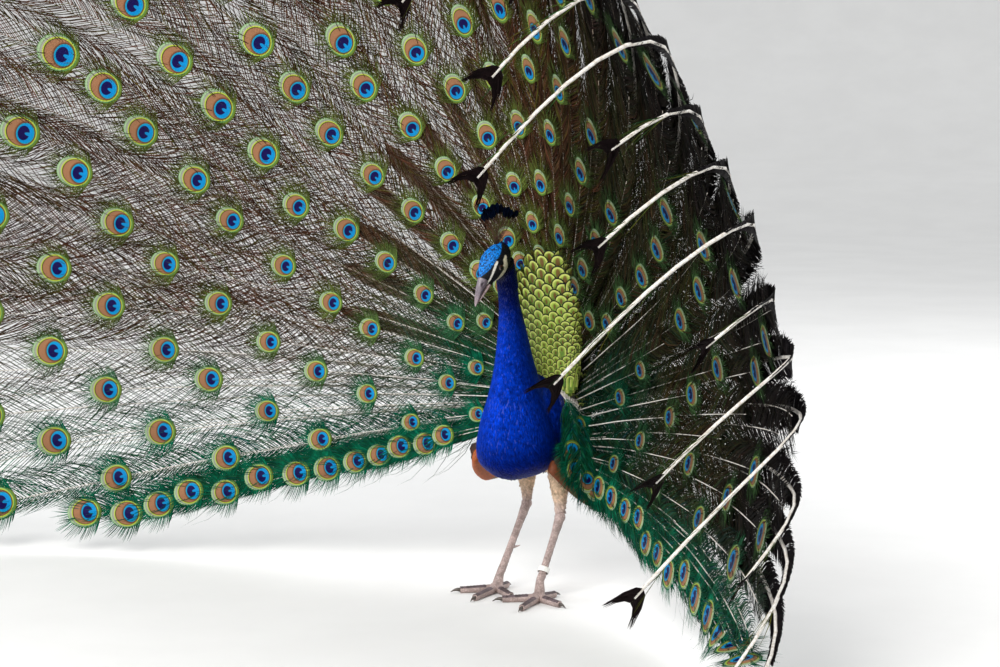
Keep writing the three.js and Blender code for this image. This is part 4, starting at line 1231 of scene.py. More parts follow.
def train():
    """The whole train: its barbs in two pieces for each sector, and its shafts and
    eyes in a piece each."""
    barbs = [Sheaf() for _ in range(2 * len(SECTORS))]
    shafts, eyes = Sheaf(), Sheaf()
    width = 2 * FAN_EDGE / len(barbs)
    for number, (degrees, reach, eye, kind) in enumerate(train_feathers()):
        sheaf = barbs[int(np.clip((degrees + FAN_EDGE) // width, 0, len(barbs) - 1))]
        loose = 0.0 if kind in ("edge", "folded") else 1.0
        course = fan_course(degrees, lift_of(reach), kind == "folded", chance.normal(0, 14.0) * loose)
        loose_barbs(sheaf, course, degrees, reach, eye, kind, chance.normal(0, 0.14) * loose)
        shaft(shafts, course, degrees, reach, eye, kind == "folded")
        if eye:
            train_eye(eyes, sheaf, course, degrees, reach, eye, number % EYE_CELLS ** 2)
    hip_feathers(barbs[-1], shafts, eyes)
    for place, sheaf in enumerate(barbs):
        sector = SECTORS[place // 2]
        sheaf.make(f"train_barbs_{sector}_{place % 2 + 1}", BARB_LOOK, "train_plumage", ["train_" + sector])
    shafts.make("train_shafts", QUILL_LOOK, "train_plumage")
    eyes.make("train_eyes", EYE_LOOK, "train_plumage")


# ---- bodies of rings -----------------------------------------------------------------

def ring_frames(rings, side, count):
    """Frames along a smooth line of rings [x, y, z, half across, half deep], in metres."""
    rows = along_points(rings, count)
    spots = (rows[:, :3] + ORIGIN) * MM
    along = unit(np.gradient(spots, axis=0))
    across = unit(side - along * (along @ side)[:, None])
    deep = np.cross(along, across)
    frames = []
    for i, spot in enumerate(spots):
        frame = Matrix.Identity(4)
        columns = (across[i] * rows[i, 3] * MM, deep[i] * rows[i, 4] * MM, along[i] * MM, spot)
        for k, column in enumerate(columns):
            frame.col[k][:3] = column
        frames.append(frame)
    return frames


def loft(rings, side, count, sides=24):
    """A closed body: a round face, extruded from ring to ring."""
    frames = ring_frames(np.asarray(rings, float), np.asarray(side, float), count)
    bpy.ops.mesh.primitive_circle_add(vertices=sides, radius=1.0, fill_type="NGON")
    piece = bpy.context.object
    piece.matrix_world = Matrix.Identity(4)
    bpy.ops.object.mode_set(mode="EDIT")
    bpy.ops.mesh.select_all(action="SELECT")
    before = Matrix.Identity(4)
    for i, frame in enumerate(frames):
        if i:
            bpy.ops.mesh.extrude_region()
        shape = bmesh.from_edit_mesh(piece.data)
        chosen = [corner for corner in shape.verts if corner.select]
        bmesh.ops.transform(shape, matrix=frame @ before.inverted(), verts=chosen)
        bmesh.update_edit_mesh(piece.data)
        before = frame
    bpy.ops.object.mode_set(mode="OBJECT")
    face_out()
    return piece


def globe(centre, sizes, axes=np.eye(3), segments=24, rings=16):
    """An egg-shaped body in the given directions, in millimetres."""
    bpy.ops.mesh.primitive_uv_sphere_add(segments=segments, ring_count=rings, radius=1.0)
    piece = bpy.context.object
    frame = Matrix.Identity(4)
    for k in range(3):
        frame.col[k][:3] = axes[:, k] * sizes[k] * MM
    frame.col[3][:3] = (np.asarray(centre, float) + ORIGIN) * MM
    piece.data.transform(frame)
    return piece


def joined(pieces):
    choose(*pieces)
    bpy.ops.object.join()
    return pieces[0]


def fused(pieces, voxel, smoothing):
    """Bodies that run into each other, made one surface."""
    whole = joined(pieces)
    apply_modifier(whole, "one_surface", "REMESH", mode="VOXEL", voxel_size=voxel * MM)
    apply_modifier(whole, "soften", "SMOOTH", factor=0.6, iterations=smoothing)
    return whole


# ---- the head's own directions ---------------------------------------------------------

HEAD_CENTRE = np.array([-5.0, -69.5, 515.5])
HEAD_YAW, HEAD_PITCH = math.radians(15.0), math.radians(50.0)
AHEAD = np.array([-math.sin(HEAD_YAW) * math.cos(HEAD_PITCH),
                  -math.cos(HEAD_YAW) * math.cos(HEAD_PITCH), -math.sin(HEAD_PITCH)])
HEAD_LEFT = np.array([math.cos(HEAD_YAW), -math.sin(HEAD_YAW), 0.0])
HEAD_AXES = np.stack([HEAD_LEFT, -AHEAD, np.cross(AHEAD, HEAD_LEFT)], 1)
EYE_SPOT = np.array([11.5, -9.0, -5.0])
EYE_RADIUS = 7.0


def from_head(local):
    return HEAD_CENTRE + np.asarray(local, float) @ HEAD_AXES.T


def to_head(points):
    return (points - HEAD_CENTRE) @ HEAD_AXES


# ---- skin --------------------------------------------------------------------------------

SIDEWAYS = np.array([1.0, 0.0, 0.0])
BREAST_HALF = 61.0
COAT_DEPTH = 3.0
# From the belly up to the head: x, y and z, half across as a share of the
# breast's, and half deep.
TRUNK_RINGS = [
    (0, -16, 184, 0.16, 22), (0, -16, 190, 0.6, 48), (0, -15, 208, 0.94, 66), (0, -14, 236, 1.0, 70),
    (0, -16, 272, 0.88, 64), (0, -18, 310, 0.68, 52), (0, -22, 355, 0.49, 40), (-1, -27, 408, 0.36, 29),
    (-1, -35, 450, 0.285, 21), (-1, -42, 485, 0.262, 19), (-2, -48, 512, 0.24, 18),
]
# Each is a place behind or above the fan's centre, half across and half deep.
REAR_RINGS = [(132, 40, 52), (110, 54, 72), (80, 59, 78), (50, 58, 76)]
BACK_RINGS = [
    (306, 34, 14), (322, 50, 20), (370, 55, 22), (420, 54, 21), (462, 46, 17), (490, 31, 12), (504, 12, 7),
]
# From knee to hock: the share of the way, half across and half deep.
THIGH_RINGS = [(0, 22, 26), (0.45, 16, 20), (0.8, 10.5, 12)]
# From hock to ankle, in the same way.
SHANK_RINGS = [(0, 7.4, 7.8), (0.12, 6.8, 7.4), (0.3, 5.4, 6.2), (0.7, 5.1, 5.7), (0.92, 5.6, 6.0),
               (1, 6.0, 6.4)]
# From the nape to the face: the place behind the head's centre, its height,
# half across and half high.
SKULL_RINGS = [
    (29, -5, 6, 8), (24, -4, 13, 15), (12, -3.4, 17.5, 20.6), (0, -2.6, 19, 23.4), (-12, -2.2, 18, 23.3),
    (-22, -2.4, 14.5, 20.1), (-31, -3, 10.5, 15.5), (-37, -3.5, 8, 12.4), (-41, -4, 6.6, 10.4),
]
LEGS = {
    "left": {
        "knee": (46, 34, 205), "hock": (49, 31, 120), "ankle": (49.5, -24, 37), "sole": (48, -30),
        "toes": {"inner": (4, -62), "middle": (64, -104), "outer": (98, -52), "hind": (52, 10)},
    },
    "right": {
        "knee": (-42, 84, 205), "hock": (-45, 88, 126), "ankle": (-45, 14, 32), "sole": (-45, 0),
        "toes": {"inner": (2, -34), "middle": (-36, -76), "outer": (-88, -36), "hind": (-50, 38)},
    },
}


def between(a, b, part):
    """A place on the way from a to b."""
    return mix(np.asarray(a, float), np.asarray(b, float), part)


def trunk_body(less):
    rings = [(x, y, z, max(4.0, part * BREAST_HALF - less), deep - less)
             for x, y, z, part, deep in TRUNK_RINGS]
    return loft(rings, SIDEWAYS, 34, 32)


def rear_body(less):
    rings = [(*fan_point(-6, -behind, 262), wide - less, deep - less) for behind, wide, deep in REAR_RINGS]
    return loft(rings, SIDEWAYS, 10, 28)


def rump_body():
    axes = np.stack([LEFTWARD, -FORWARD, UP], 1)
    return globe(fan_point(0, -18, 306), (56, 30, 126), axes, 32, 20)


def back_body(less):
    rings = [(*fan_point(4, -58, height), wide - less, deep - less) for height, wide, deep in BACK_RINGS]
    return loft(rings, LEFTWARD, 14, 24)


def thigh_body(side, less):
    knee, hock = LEGS[side]["knee"], LEGS[side]["hock"]
    rings = [(*between(knee, hock, part), wide - less, deep - less) for part, wide, deep in THIGH_RINGS]
    rings.append((*between(knee, hock, 0.97), 6, 7))
    return loft(rings, SIDEWAYS, 10, 20)


def skull_body(less):
    rings = [(*from_head((0, y, z)), wide - less, high - less) for y, z, wide, high in SKULL_RINGS]
    return loft(rings, HEAD_LEFT, 20, 28)


def neck_stub(less):
    """The top of the neck, joined to the head below its coat."""
    rings = []
    for x, y, z, part, deep in TRUNK_RINGS:
        sunk = mix(COAT_DEPTH + 0.5, less, float(smooth(440, 485, z))) + 2.5 * float(smooth(450, 408, z))
        if z > 400:
            rings.append((x, y, z, part * BREAST_HALF - sunk, deep - sunk))
    return loft(rings, SIDEWAYS, 10, 28)


def eye_spot(side):
    """The middle of an eyeball, in the head's directions."""
    return EYE_SPOT * [side, 1, 1]


def eye_pits(piece):
    """Sinks the skin behind each eyeball, inside an almond-shaped opening."""
    local = to_head(corners_of(piece))
    for side in (-1, 1):
        off = local - eye_spot(side)
        far = np.hypot(off[:, 1] / 6.0, off[:, 2] / 4.9)
        inside = (far < 1.0) & (local[:, 0] * side > 6)
        sunk = mix(local[:, 0], side * 9.0, smooth(1.0, 0.86, far))
        local[:, 0] = np.where(inside, sunk, local[:, 0])
    put_corners(piece, from_head(local))


def lid(side):
    """The rim of the eyelids, a soft ring that lies on the eyeball."""
    count, sides = 48, 8
    turns = np.linspace(0, math.tau, count, endpoint=False)
    y = 6.0 * np.cos(turns) + 0.5 * np.cos(2 * turns)
    z = 4.75 * np.sin(turns)
    x = np.sqrt(np.maximum(EYE_RADIUS ** 2 - y ** 2 - z ** 2, 1.0)) + 0.25
    line = np.c_[side * x, y, z] + eye_spot(side)
    tangent = unit(np.roll(line, -1, 0) - np.roll(line, 1, 0))
    out = unit(line - eye_spot(side))
    over = np.cross(tangent, out)
    points = []
    for i in range(count):
        thick = 0.75 + 0.25 * math.sin(turns[i])
        for turn in math.tau * np.arange(sides) / sides:
            points.append(line[i] + thick * (out[i] * math.cos(turn) + over[i] * math.sin(turn) * 1.3))
    piece = from_faces("lid", from_head(points), tube_faces(count, sides, closed=True))
    choose(piece)
    face_out()
    return piece


# ---- colours of the body -------------------------------------------------------------------

ROYAL = colour(0.0, 0.19, 0.66)
NAVY = colour(0.0, 0.05, 0.34)
BLACK = colour(0.025, 0.03, 0.05)
CROWN_BLUE = colour(0.0, 0.50, 0.88)
LEG_SKIN = colour(0.72, 0.64, 0.62)
WHITE_SKIN = colour(0.88, 0.87, 0.83)
CREAM = colour(0.84, 0.81, 0.70)
BUFF = colour(0.80, 0.69, 0.58)
DOWN = colour(0.13, 0.12, 0.11)
GOLD = colour(0.58, 0.66, 0.26)
# The crown's dark specks are this large, and cover this share of it.
SPECK = 1.95
SPECK_SHARE = 0.42
# How far back the middle of breast and neck lies at these heights.
NECK_HEIGHTS = [184, 310, 450, 512]
NECK_MIDDLE = [-16, -18, -35, -48]

# Lines on the side of the head, as (behind, above) its centre: the white stripe
# over the eye, the bare white cheek, and the lower edge of the blue crown.
BROW = np.array([(-52, -6.9), (-42, -6.2), (-32.6, -4.8), (-21.8, 1.0), (-13, 5.2), (-8, 6.2)])
CHEEK = np.array([(-28, -17.6), (-22, -17.6), (-15, -17.2), (-8.5, -16.4), (-2, -13), (1.6, -8),
                  (4.5, -3.6), (8, -1.5)])
CROWN_LINE = np.array([(-60, 7.0), (-34.7, 7.9), (-22.8, 7.0), (-10.7, 8.9), (2.2, 7.9), (15, 8.5),
                       (22, 9.0), (60, 10)])


def face_masks(local):
    """How much of each marking covers places given in the head's directions."""
    flat = local[:, 1:]
    brow = 1 - smooth(1.1, 1.9, distance_to_line(flat, BROW) - 0.35 * smooth(-30, -20, flat[:, 0]))
    cheek_half = 2.1 + 2.4 * smooth(-24, -12, flat[:, 0]) - 2.3 * smooth(0, 7, flat[:, 0])
    cheek = 1 - smooth(0.0, 0.9, distance_to_line(flat, CHEEK) - cheek_half)
    side = smooth(3.0, 4.5, np.abs(local[:, 0]))
    line = np.interp(flat[:, 0], CROWN_LINE[:, 0], CROWN_LINE[:, 1])
    crown = smooth(-0.5, 0.8, flat[:, 1] - line) * (1 - smooth(24, 27, flat[:, 0]))
    return brow * side, cheek * side, crown


def in_head(points):
    """Whether places belong to the head and not to the neck."""
    behind, above = to_head(points)[:, 1:].T
    return (behind < 26) & (above > -30) & (above + 0.7 * np.maximum(behind, -8) > -42)


def body_paint(points):
    """The bird's markings and the painted shade on its upper neck, for the skin and for the coat that lies
    over it.
    """
    height = points[:, 2]
    # Navy low on the breast, royal above, and navy again towards the head as painted shade under it.
    tint = mix(NAVY, ROYAL, (smooth(186, 270, height) * (1 - 0.85 * smooth(395, 470, height)))[:, None])
    behind = points[:, 1] - np.interp(height, NECK_HEIGHTS, NECK_MIDDLE)
    # Painted shade: the rear of the upper neck, away from the light, is painted black.
    nape_shade = smooth(2, 12, behind) * smooth(400, 450, height)
    back = 0.6 * smooth(10, 50, behind) * smooth(250, 320, height)
    tint = mix(tint, BLACK, np.maximum(nape_shade, back)[:, None])
    belly = smooth(214, 190, height) * smooth(10, 40, points[:, 1])
    tint = mix(tint, DOWN, np.maximum(belly, smooth(30, 62, points[:, 1]))[:, None])
    legging = mix(BUFF, LEG_SKIN * 0.9, smooth(165, 122, height)[:, None])
    for limb in LEGS.values():
        far = distance_to_line(points, [(*limb["knee"][:2], 225.0), limb["hock"]])
        tint = mix(tint, legging, (smooth(36, 27, far) * smooth(214, 200, height))[:, None])
    # Painted shade under the head: the upper neck is painted darker still.
    tint = tint * mix(1.0, 0.3, smooth(425, 490, height)[:, None])
    local = to_head(points)
    brow, cheek, crown = face_masks(local)
    cells = np.floor(points / SPECK).astype(int)
    speck = np.abs(np.sin(cells @ [12.9, 78.2, 37.7]) * 437.5) % 1.0 < SPECK_SHARE
    face = mix(BLACK, CROWN_BLUE, (crown * (1 - 0.85 * speck))[:, None])
    face = mix(face, WHITE_SKIN, brow[:, None])
    face = mix(face, CREAM, cheek[:, None])
    throat = smooth(-17.5, -21.5, local[:, 2]) * smooth(6, -2, local[:, 1])
    under = mix(BLACK, tint, smooth(-22, -30, local[:, 2])[:, None])
    face = mix(face, under, (throat * (1 - cheek))[:, None])
    return mix(tint, face, in_head(points)[:, None] * 1.0)


def skin():
    """The one skin of body, thighs, neck and head."""
    body = fused([trunk_body(COAT_DEPTH), rear_body(COAT_DEPTH), rump_body(), back_body(5),
                  thigh_body("left", COAT_DEPTH), thigh_body("right", COAT_DEPTH)], 3.4, 6)
    sockets = [globe(from_head((sign * 12.4, -9, -5)), (6.2, 8.9, 7.8), HEAD_AXES) for sign in (-1, 1)]
    chin = globe(from_head((0, -31, -11.5)), (6.9, 7.6, 5.7), HEAD_AXES)
    head = fused([skull_body(1.0), neck_stub(1.4), *sockets, chin], 0.85, 5)
    eye_pits(head)
    whole = joined([body, head, lid(1), lid(-1)])
    tint_corners(whole, body_paint(corners_of(whole)))
    return finish_piece(whole, "skin", SKIN_LOOK,
                        ["head", "neck", "torso", "vent", "thigh_left", "thigh_right"])


# ---- the coat ---------------------------------------------------------------------------------

# A small body feather: eight corners that make a shallow roof, with a point.
LEAF = Pattern([(0, 0, 0), (-0.7, 0.35, -0.16), (0, 0.4, 0.16), (0.7, 0.35, -0.16),
                (-0.8, 0.72, -0.2), (0, 0.78, 0.14), (0.8, 0.72, -0.2), (0, 1, -0.04)],
               [(1, 2, 5, 4), (2, 3, 6, 5)], [(0, 2, 1), (0, 3, 2), (4, 5, 7), (5, 6, 7)])


def scatter(piece, spacing, wanted):
    """Places spread evenly over a skin, one to each cell of the wanted spacing, with
    the skin's outward direction at each."""
    mesh = piece.data
    mesh.calc_loop_triangles()
    tris = np.empty(3 * len(mesh.loop_triangles), int)
    mesh.loop_triangles.foreach_get("vertices", tris)
    corners = corners_of(piece)[tris.reshape(-1, 3)]
    cross = np.cross(corners[:, 1] - corners[:, 0], corners[:, 2] - corners[:, 0])
    area = np.linalg.norm(cross, axis=1) / 2
    middle = corners.mean(1)
    gap = spacing(middle)
    keep = wanted(middle) & (gap > 0)
    weight = np.where(keep, area / np.maximum(gap, 0.1) ** 2, 0)
    number = int(weight.sum() * 2.6)
    chosen = chance.choice(len(area), number, p=weight / weight.sum())
    a, b = chance.uniform(0, 1, (2, number, 1))
    outside = a + b > 1
    a, b = np.where(outside, 1 - a, a), np.where(outside, 1 - b, b)
    tri = corners[chosen]
    spots = tri[:, 0] + a * (tri[:, 1] - tri[:, 0]) + b * (tri[:, 2] - tri[:, 0])
    cells = np.floor(spots / gap[chosen][:, None]).astype(int)
    first = np.unique(cells, axis=0, return_index=True)[1]
    return spots[first], unit(cross)[chosen][first]


def lie_of(points, normals):
    """The way the coat lies: back from the bill, down the neck and breast, and back
    under the body."""
    local = to_head(points)
    head = smooth(-44, -20, local[:, 2] + 0.5 * local[:, 1])[:, None] * smooth(34, 20, local[:, 1])[:, None]
    down = np.array([0.0, 0.15, -1.0])
    back = np.array([0.0, 1.0, -0.35])
    lie = mix(np.broadcast_to(back, points.shape), down, smooth(196, 250, points[:, 2])[:, None])
    lie = mix(lie, HEAD_AXES[:, 1] + 0.25 * HEAD_AXES[:, 2], head)
    lie = lie - normals * (lie * normals).sum(1, keepdims=True)
    return unit(lie)


def coat(name, piece, look, slot, spacing, wanted, length, half, stand):
    """A coat of small overlapping feathers over the wanted part of a skin. Length and
    half width are given in gaps of the spacing."""
    spots, normals = scatter(piece, spacing, wanted)
    number = len(spots)
    along = lie_of(spots, normals)
    across = np.cross(along, normals) * chance.normal(0, 0.14, (number, 1))
    along = unit(along + across + normals * (stand + spread(0, 0.08, number)))
    across = unit(np.cross(along, normals))
    out = np.cross(across, along)
    tints = body_paint(spots) * spread(0.7, 1.3, number)
    gap = spacing(spots)
    long = length * gap * chance.uniform(0.85, 1.15, number)
    points = placed(LEAF, spots - out * 0.2, along, across, out, long, half * gap, -0.12)
    bake = np.c_[np.arctan2(spots[:, 0], -spots[:, 1] - 20) / 6.4 + 0.5, spots[:, 2] / 560.0]
    sheaf = Sheaf()
    sheaf.copies(LEAF, points, tints, bake)
    return sheaf.make(name, look, slot)


def bare_face(points):
    """The bare skin of brow and cheek, and the places of eye and bill."""
    local = to_head(points)
    brow, cheek, _ = face_masks(local)
    off = (local - EYE_SPOT)[:, 1:] / [7.2, 6.2]
    return (np.maximum(brow, cheek) > 0.4) | (np.hypot(*off.T) < 1) | (local[:, 1] < -37)


def before_back(points):
    """How far places lie in front of the upright back."""
    return (points - fan_point(0, -50, 0)) @ FORWARD


def blue_part(points):
    front = (points[:, 1] < 34) & (before_back(points) > -6)
    return ~in_head(points) & (points[:, 2] > 186) & front


def buff_part(points):
    near = np.zeros(len(points), bool)
    for limb in LEGS.values():
        beside = np.abs(points[:, 0] - limb["hock"][0]) < 27
        near |= beside & (np.abs(points[:, 1] - limb["knee"][1]) < 34)
    return near & (points[:, 2] < 214) & (points[:, 2] > 121)


def down_part(points):
    return ~in_head(points) & ~blue_part(points) & ~buff_part(points) & (points[:, 2] > 170)


def even(gap):
    """The same spacing everywhere."""
    return lambda points: np.full(len(points), gap)


def coats(body):
    coat("face_feathers", body, FACE_LOOK, "face_plumage",
         lambda points: mix(1.6, 1.15, smooth(-32, -20, to_head(points)[:, 2])),
         lambda points: in_head(points) & ~bare_face(points), 2.2, 0.75, 0.1)
    coat("neck_and_breast_feathers", body, BLUE_LOOK, "blue_plumage",
         lambda points: mix(2.9, 1.7, smooth(300, 470, points[:, 2])), blue_part, 3.4, 0.85, 0.1)
    coat("thigh_feathers", body, BUFF_LOOK, "thigh_plumage", even(2.1), buff_part, 3.6, 0.8, 0.05)
    coat("down_feathers", body, DOWN_LOOK, "down", even(3.2), down_part, 4.6, 0.8, 0.2)


# ---- golden scales of the back -------------------------------------------------------------------

def scale_edge(t):
    """A round tip of half the width, over sides that run in a little to the base."""
    arc = 1 - 1 / SCALE_LONG
    if t < 0.4:
        return mix(0.8, 1.0, t / 0.4), arc * t / 0.4
    turn = math.pi / 2 * (t - 0.4) / 0.6
    return math.cos(turn), arc + math.sin(turn) / SCALE_LONG


SCALE = web(8, scale_edge, lambda t: 0.9 * t, lift=0.03, crown=0.14)
SCALE_HEIGHTS = (292.0, 502.0)
SCALE_HALVES = (7.2, 12.4)
SHOULDER_HALF = 6.4
SHOULDER_GAP = 8.0


def next_row(turns, wanted):
    """The places of a row of tiles over the gaps of the row below it."""
    between_them = (turns[1:] + turns[:-1]) / 2
    if wanted > len(turns):
        step = (turns[1] - turns[0]) / 2
        between_them = np.concatenate([[turns[0] - step], between_them, [turns[-1] + step]])
    even = np.linspace(-0.08, math.pi + 0.08, len(between_them))
    return mix(between_them, even, 0.3)


def golden_scales(body):
    """Rounded feathers that lie over the upright back like tiles, tips up, and
    run on down the side of the body to the shoulder."""
    spots, outs, halves = [], [], []
    heights = np.array([ring[0] for ring in BACK_RINGS])
    turns = np.linspace(0, math.pi, 12)
    height = SCALE_HEIGHTS[0]
    while height < SCALE_HEIGHTS[1]:
        wide = np.interp(height, heights, [ring[1] for ring in BACK_RINGS])
        deep = np.interp(height, heights, [ring[2] for ring in BACK_RINGS])
        half = mix(*SCALE_HALVES, smooth(330, 490, height))
        for turn in turns + chance.uniform(-0.02, 0.02, len(turns)):
            x, y = math.cos(turn), math.sin(turn)
            place = fan_point(6, -58, height) + LEFTWARD * x * (wide + 6) + FORWARD * y * (deep - 1)
            spots.append(place + chance.normal(0, 0.3, 3))
            outs.append(unit(LEFTWARD * x / wide + FORWARD * y / deep))
            halves.append(half * chance.uniform(0.95, 1.08))
        wanted = math.pi * math.sqrt((wide ** 2 + deep ** 2) / 2) / (2 * half * 0.84)
        turns = next_row(turns, wanted)
        height += 0.68 * half
    low, low_outs = scatter(body, even(SHOULDER_GAP), shoulder)
    spots, outs = np.vstack([spots, low]), np.vstack([outs, low_outs])
    halves = np.concatenate([halves, np.full(len(low), SHOULDER_HALF)])
    number = len(spots)
    stand = np.radians(spread(7, 11, number))
    level = unit(np.cross(UP, outs))
    rise = np.cross(outs, level)
    along = unit(rise * np.cos(stand) + outs * np.sin(stand))
    across = unit(np.cross(along, outs))
    out = np.cross(across, along)
    roots = spots - along * halves[:, None]
    points = placed(SCALE, roots, along, across, out, halves * SCALE_LONG, halves, 0.04)
    bake = np.c_[(spots[:, 0] + 60) / 160, (spots[:, 2] - 200) / 340]
    sheaf = Sheaf()
    sheaf.copies(SCALE, points, GOLD * spread(0.75, 1.25, number), bake)
    sheaf.make("back_scales", SCALE_LOOK, "scale_plumage", ["back_scales"])


def shoulder(points):
    """The part of the body's left side that the golden feathers reach down over."""
    x, _, z = points.T
    forward = before_back(points)
    ahead = mix(2.0, 16.0, smooth(225, 300, z))
    return (x > 18) & (z > 222) & (z < 330) & (forward > -34) & (forward < ahead)


# ---- bill and eyes --------------------------------------------------------------------------------

# From the face to the tip: how far ahead of the head's centre, the height of the
# upper and lower side, and half across.
BILL_UPPER = [
    (36.6, 8.9, -8.6, 7.6), (42, 7.0, -8.9, 7.0), (50, 3.6, -9.5, 6.2), (58, -0.6, -10.3, 5.2),
    (66, -5.4, -11.3, 3.9), (72, -9.6, -12.6, 2.5), (76, -13.0, -14.2, 0.9),
]
BILL_LOWER = [
    (36.6, -8.9, -15.8, 6.8), (46, -9.5, -15.3, 5.8), (56, -10.4, -14.8, 4.6), (64, -11.3, -14.3, 3.2),
    (70, -12.5, -13.9, 1.2),
]


HORN_DARK = np.array([[0.62, 0.6, 0.62]])
HORN_TIP = np.array([[1.15, 1.05, 0.98]])
HORN_EDGE = np.array([[1.25, 1.1, 1.0]])
HORN_LOWER = np.array([[1.2, 0.95, 0.8]])
NOSTRIL_SHADE = np.array([[0.1, 0.09, 0.1]])


def bill_part(rings, name, ridge):
    """Half of the bill. The upper one has a ridge, a cere and a slit for a nostril."""
    rows = []
    for ahead, top, bottom, wide in rings:
        rows.append((*from_head((0, -ahead, (top + bottom) / 2)), wide, (top - bottom) / 2))
    piece = loft(rows, HEAD_LEFT, 34, 40)
    local = to_head(corners_of(piece))
    table = np.array(rings)
    ahead = -local[:, 1]
    top, bottom = (np.interp(ahead, table[:, 0], table[:, k]) for k in (1, 2))
    up = np.clip((local[:, 2] - (top + bottom) / 2) / np.maximum((top - bottom) / 2, 0.2), -1, 1)
    local[:, 0] *= 1 + (0.1 - ridge * smooth(0.2, 1.0, up)) * smooth(76, 60, ahead)
    tints = mix(HORN_DARK, HORN_TIP, smooth(56, 74, ahead)[:, None])
    if name == "bill_upper":
        slit = np.hypot((ahead - 45.5) / 4.4, (local[:, 2] - 0.9 + 0.3 * (ahead - 45.5)) / 1.2)
        local[:, 0] -= np.sign(local[:, 0]) * 1.5 * (1 - smooth(0.5, 1.2, slit))
        local[:, 0] += np.sign(local[:, 0]) * 0.35 * smooth(44, 38, ahead)
        tints = mix(tints, HORN_EDGE, 0.6 * smooth(-0.5, -0.95, up)[:, None])
        # Painted shade inside the nostril: its slit is painted near black.
        tints = mix(tints, NOSTRIL_SHADE, (1 - smooth(0.6, 1.2, slit))[:, None])
    else:
        tints = mix(tints, HORN_EDGE, 0.6 * smooth(0.2, 0.8, up)[:, None])
        tints = mix(tints, HORN_LOWER, 0.7)
    put_corners(piece, from_head(local))
    tint_corners(piece, tints)
    return finish_piece(piece, name, HORN_LOOK, [name])


IRIS_INNER = colour(0.24, 0.12, 0.055)
IRIS_OUTER = colour(0.11, 0.055, 0.03)
PUPIL = np.array([[0.004, 0.004, 0.005]])
EYE_WHITE = np.array([[0.01, 0.008, 0.007]])


def eyeball(side, name):
    """A round eye with a bulging front. What would be its white is dark too."""
    piece = globe(from_head(eye_spot(side)), (EYE_RADIUS,) * 3, HEAD_AXES, 48, 32)
    local = to_head(corners_of(piece)) - eye_spot(side)
    gaze = unit(np.array([side, -0.12, 0.0]))
    turn = np.degrees(np.arccos(np.clip(unit(local) @ gaze, -1, 1)))
    iris = mix(IRIS_INNER, IRIS_OUTER, smooth(20, 40, turn)[:, None])
    tints = mix(PUPIL, iris, smooth(17, 20, turn)[:, None])
    tints = mix(tints, EYE_WHITE, smooth(44, 50, turn)[:, None])
    bulge = 0.5 * smooth(48, 20, turn)[:, None]
    put_corners(piece, from_head(local * (1 + bulge / EYE_RADIUS) + eye_spot(side)))
    tint_corners(piece, tints)
    return finish_piece(piece, name, EYEBALL_LOOK, [name])


# ---- crest ------------------------------------------------------------------------------------------

def tuft_edge(t):
    return math.sin(math.pi * min(1.0, 0.12 + 0.88 * t)) ** 0.7 * (0.35 + 0.75 * t), t


TUFT = web(9, tuft_edge, lambda t: 0.85 * t, lift=0.05, crown=0.1)
CREST_COUNT = 28
CREST_TURNS = (-43.0, 28.0)
CREST_REACH = 58.0
CREST_STEM = colour(0.33, 0.24, 0.20)
CREST_BLUES = (colour(0.01, 0.015, 0.05), colour(0.01, 0.07, 0.17))


def crest():
    """Bare shafts that stand on the crown in three rows, each with a few short barbs
    and a small dark fan at its tip."""
    flat = unit(HEAD_LEFT * [1, 1, 0])
    ahead = np.cross(flat, UP)
    sheaf = Sheaf()
    for i in range(CREST_COUNT):
        row = i % 3 - 1
        turn = math.radians(mix(*CREST_TURNS, i / (CREST_COUNT - 1)) + chance.uniform(-1.5, 1.5))
        along = unit(UP * math.cos(turn) + ahead * math.sin(turn) + flat * 0.05 * row)
        root = from_head((1.6 * row, 20 - 5 * math.sin(turn), 11.0))
        reach = CREST_REACH * chance.uniform(0.9, 1.04)
        side = unit(np.cross(along, flat))
        stations = np.linspace(0, reach - 9, 6)
        thick = mix(0.42, 0.26, stations / reach)
        rings = [root + along * s + (side * math.cos(a) + flat * math.sin(a)) * r
                 for s, r in zip(stations, thick) for a in np.radians([0, 120, 240])]
        brown = CREST_STEM * chance.uniform(0.8, 1.2)
        bake = (0.03 + 0.035 * i, 0.1)
        sheaf.add(rings, tube_faces(6, 3), [(2, 1, 0), (15, 16, 17)], brown, (0.0, 0.5), bake)
        for j in range(5):
            start = root + along * (reach - 30 + 3.4 * j)
            for k in (-1, 1):
                tip = start + along * 4.5 + side * k * 3.2
                sheaf.add([start, start + along * 0.7, tip], [], [(0, 1, 2)], brown * 0.8, (0.2, 0.5), bake)
        for spin in (0.0, 1.2):
            facing = flat * math.cos(spin) + side * math.sin(spin)
            broad = unit(np.cross(along, facing))
            blue = mix(*CREST_BLUES, chance.uniform())
            length = 12.5 * chance.uniform(0.85, 1.15)
            base = root + along * (reach - 11)
            points = placed(TUFT, base[None], along[None], broad[None], facing[None], [length], [6.6])
            sheaf.copies(TUFT, points, blue[None], np.array([[0.03 + 0.035 * i, 0.4 + 0.2 * spin]]))
    return sheaf.make("crest_feathers", CREST_LOOK, "crest_plumage", ["crest"])


# ---- wings and tail ------------------------------------------------------------------------------------

def flight_edge(t):
    """Nearly straight sides that narrow to the base, and a round tip."""
    y = 0.02 + 0.98 * t
    tip = max(0.0, 1 - max(0.0, (y - 0.86) / 0.14) ** 2) ** 0.5
    return float(smooth(0.0, 0.18, y)) * (1 - 0.25 * y) * tip, y


def flight_root(t):
    return max(0.0, t * 1.02 - 0.13 * (1 - t ** 6)) * 0.97


def covert_root(t):
    return max(0.0, t - 0.12) * 0.98


FLIGHT = web(34, flight_edge, flight_root, lift=0.012, crown=0.12)
COVERT = web(12, flight_edge, covert_root, lift=0.02, crown=0.12)

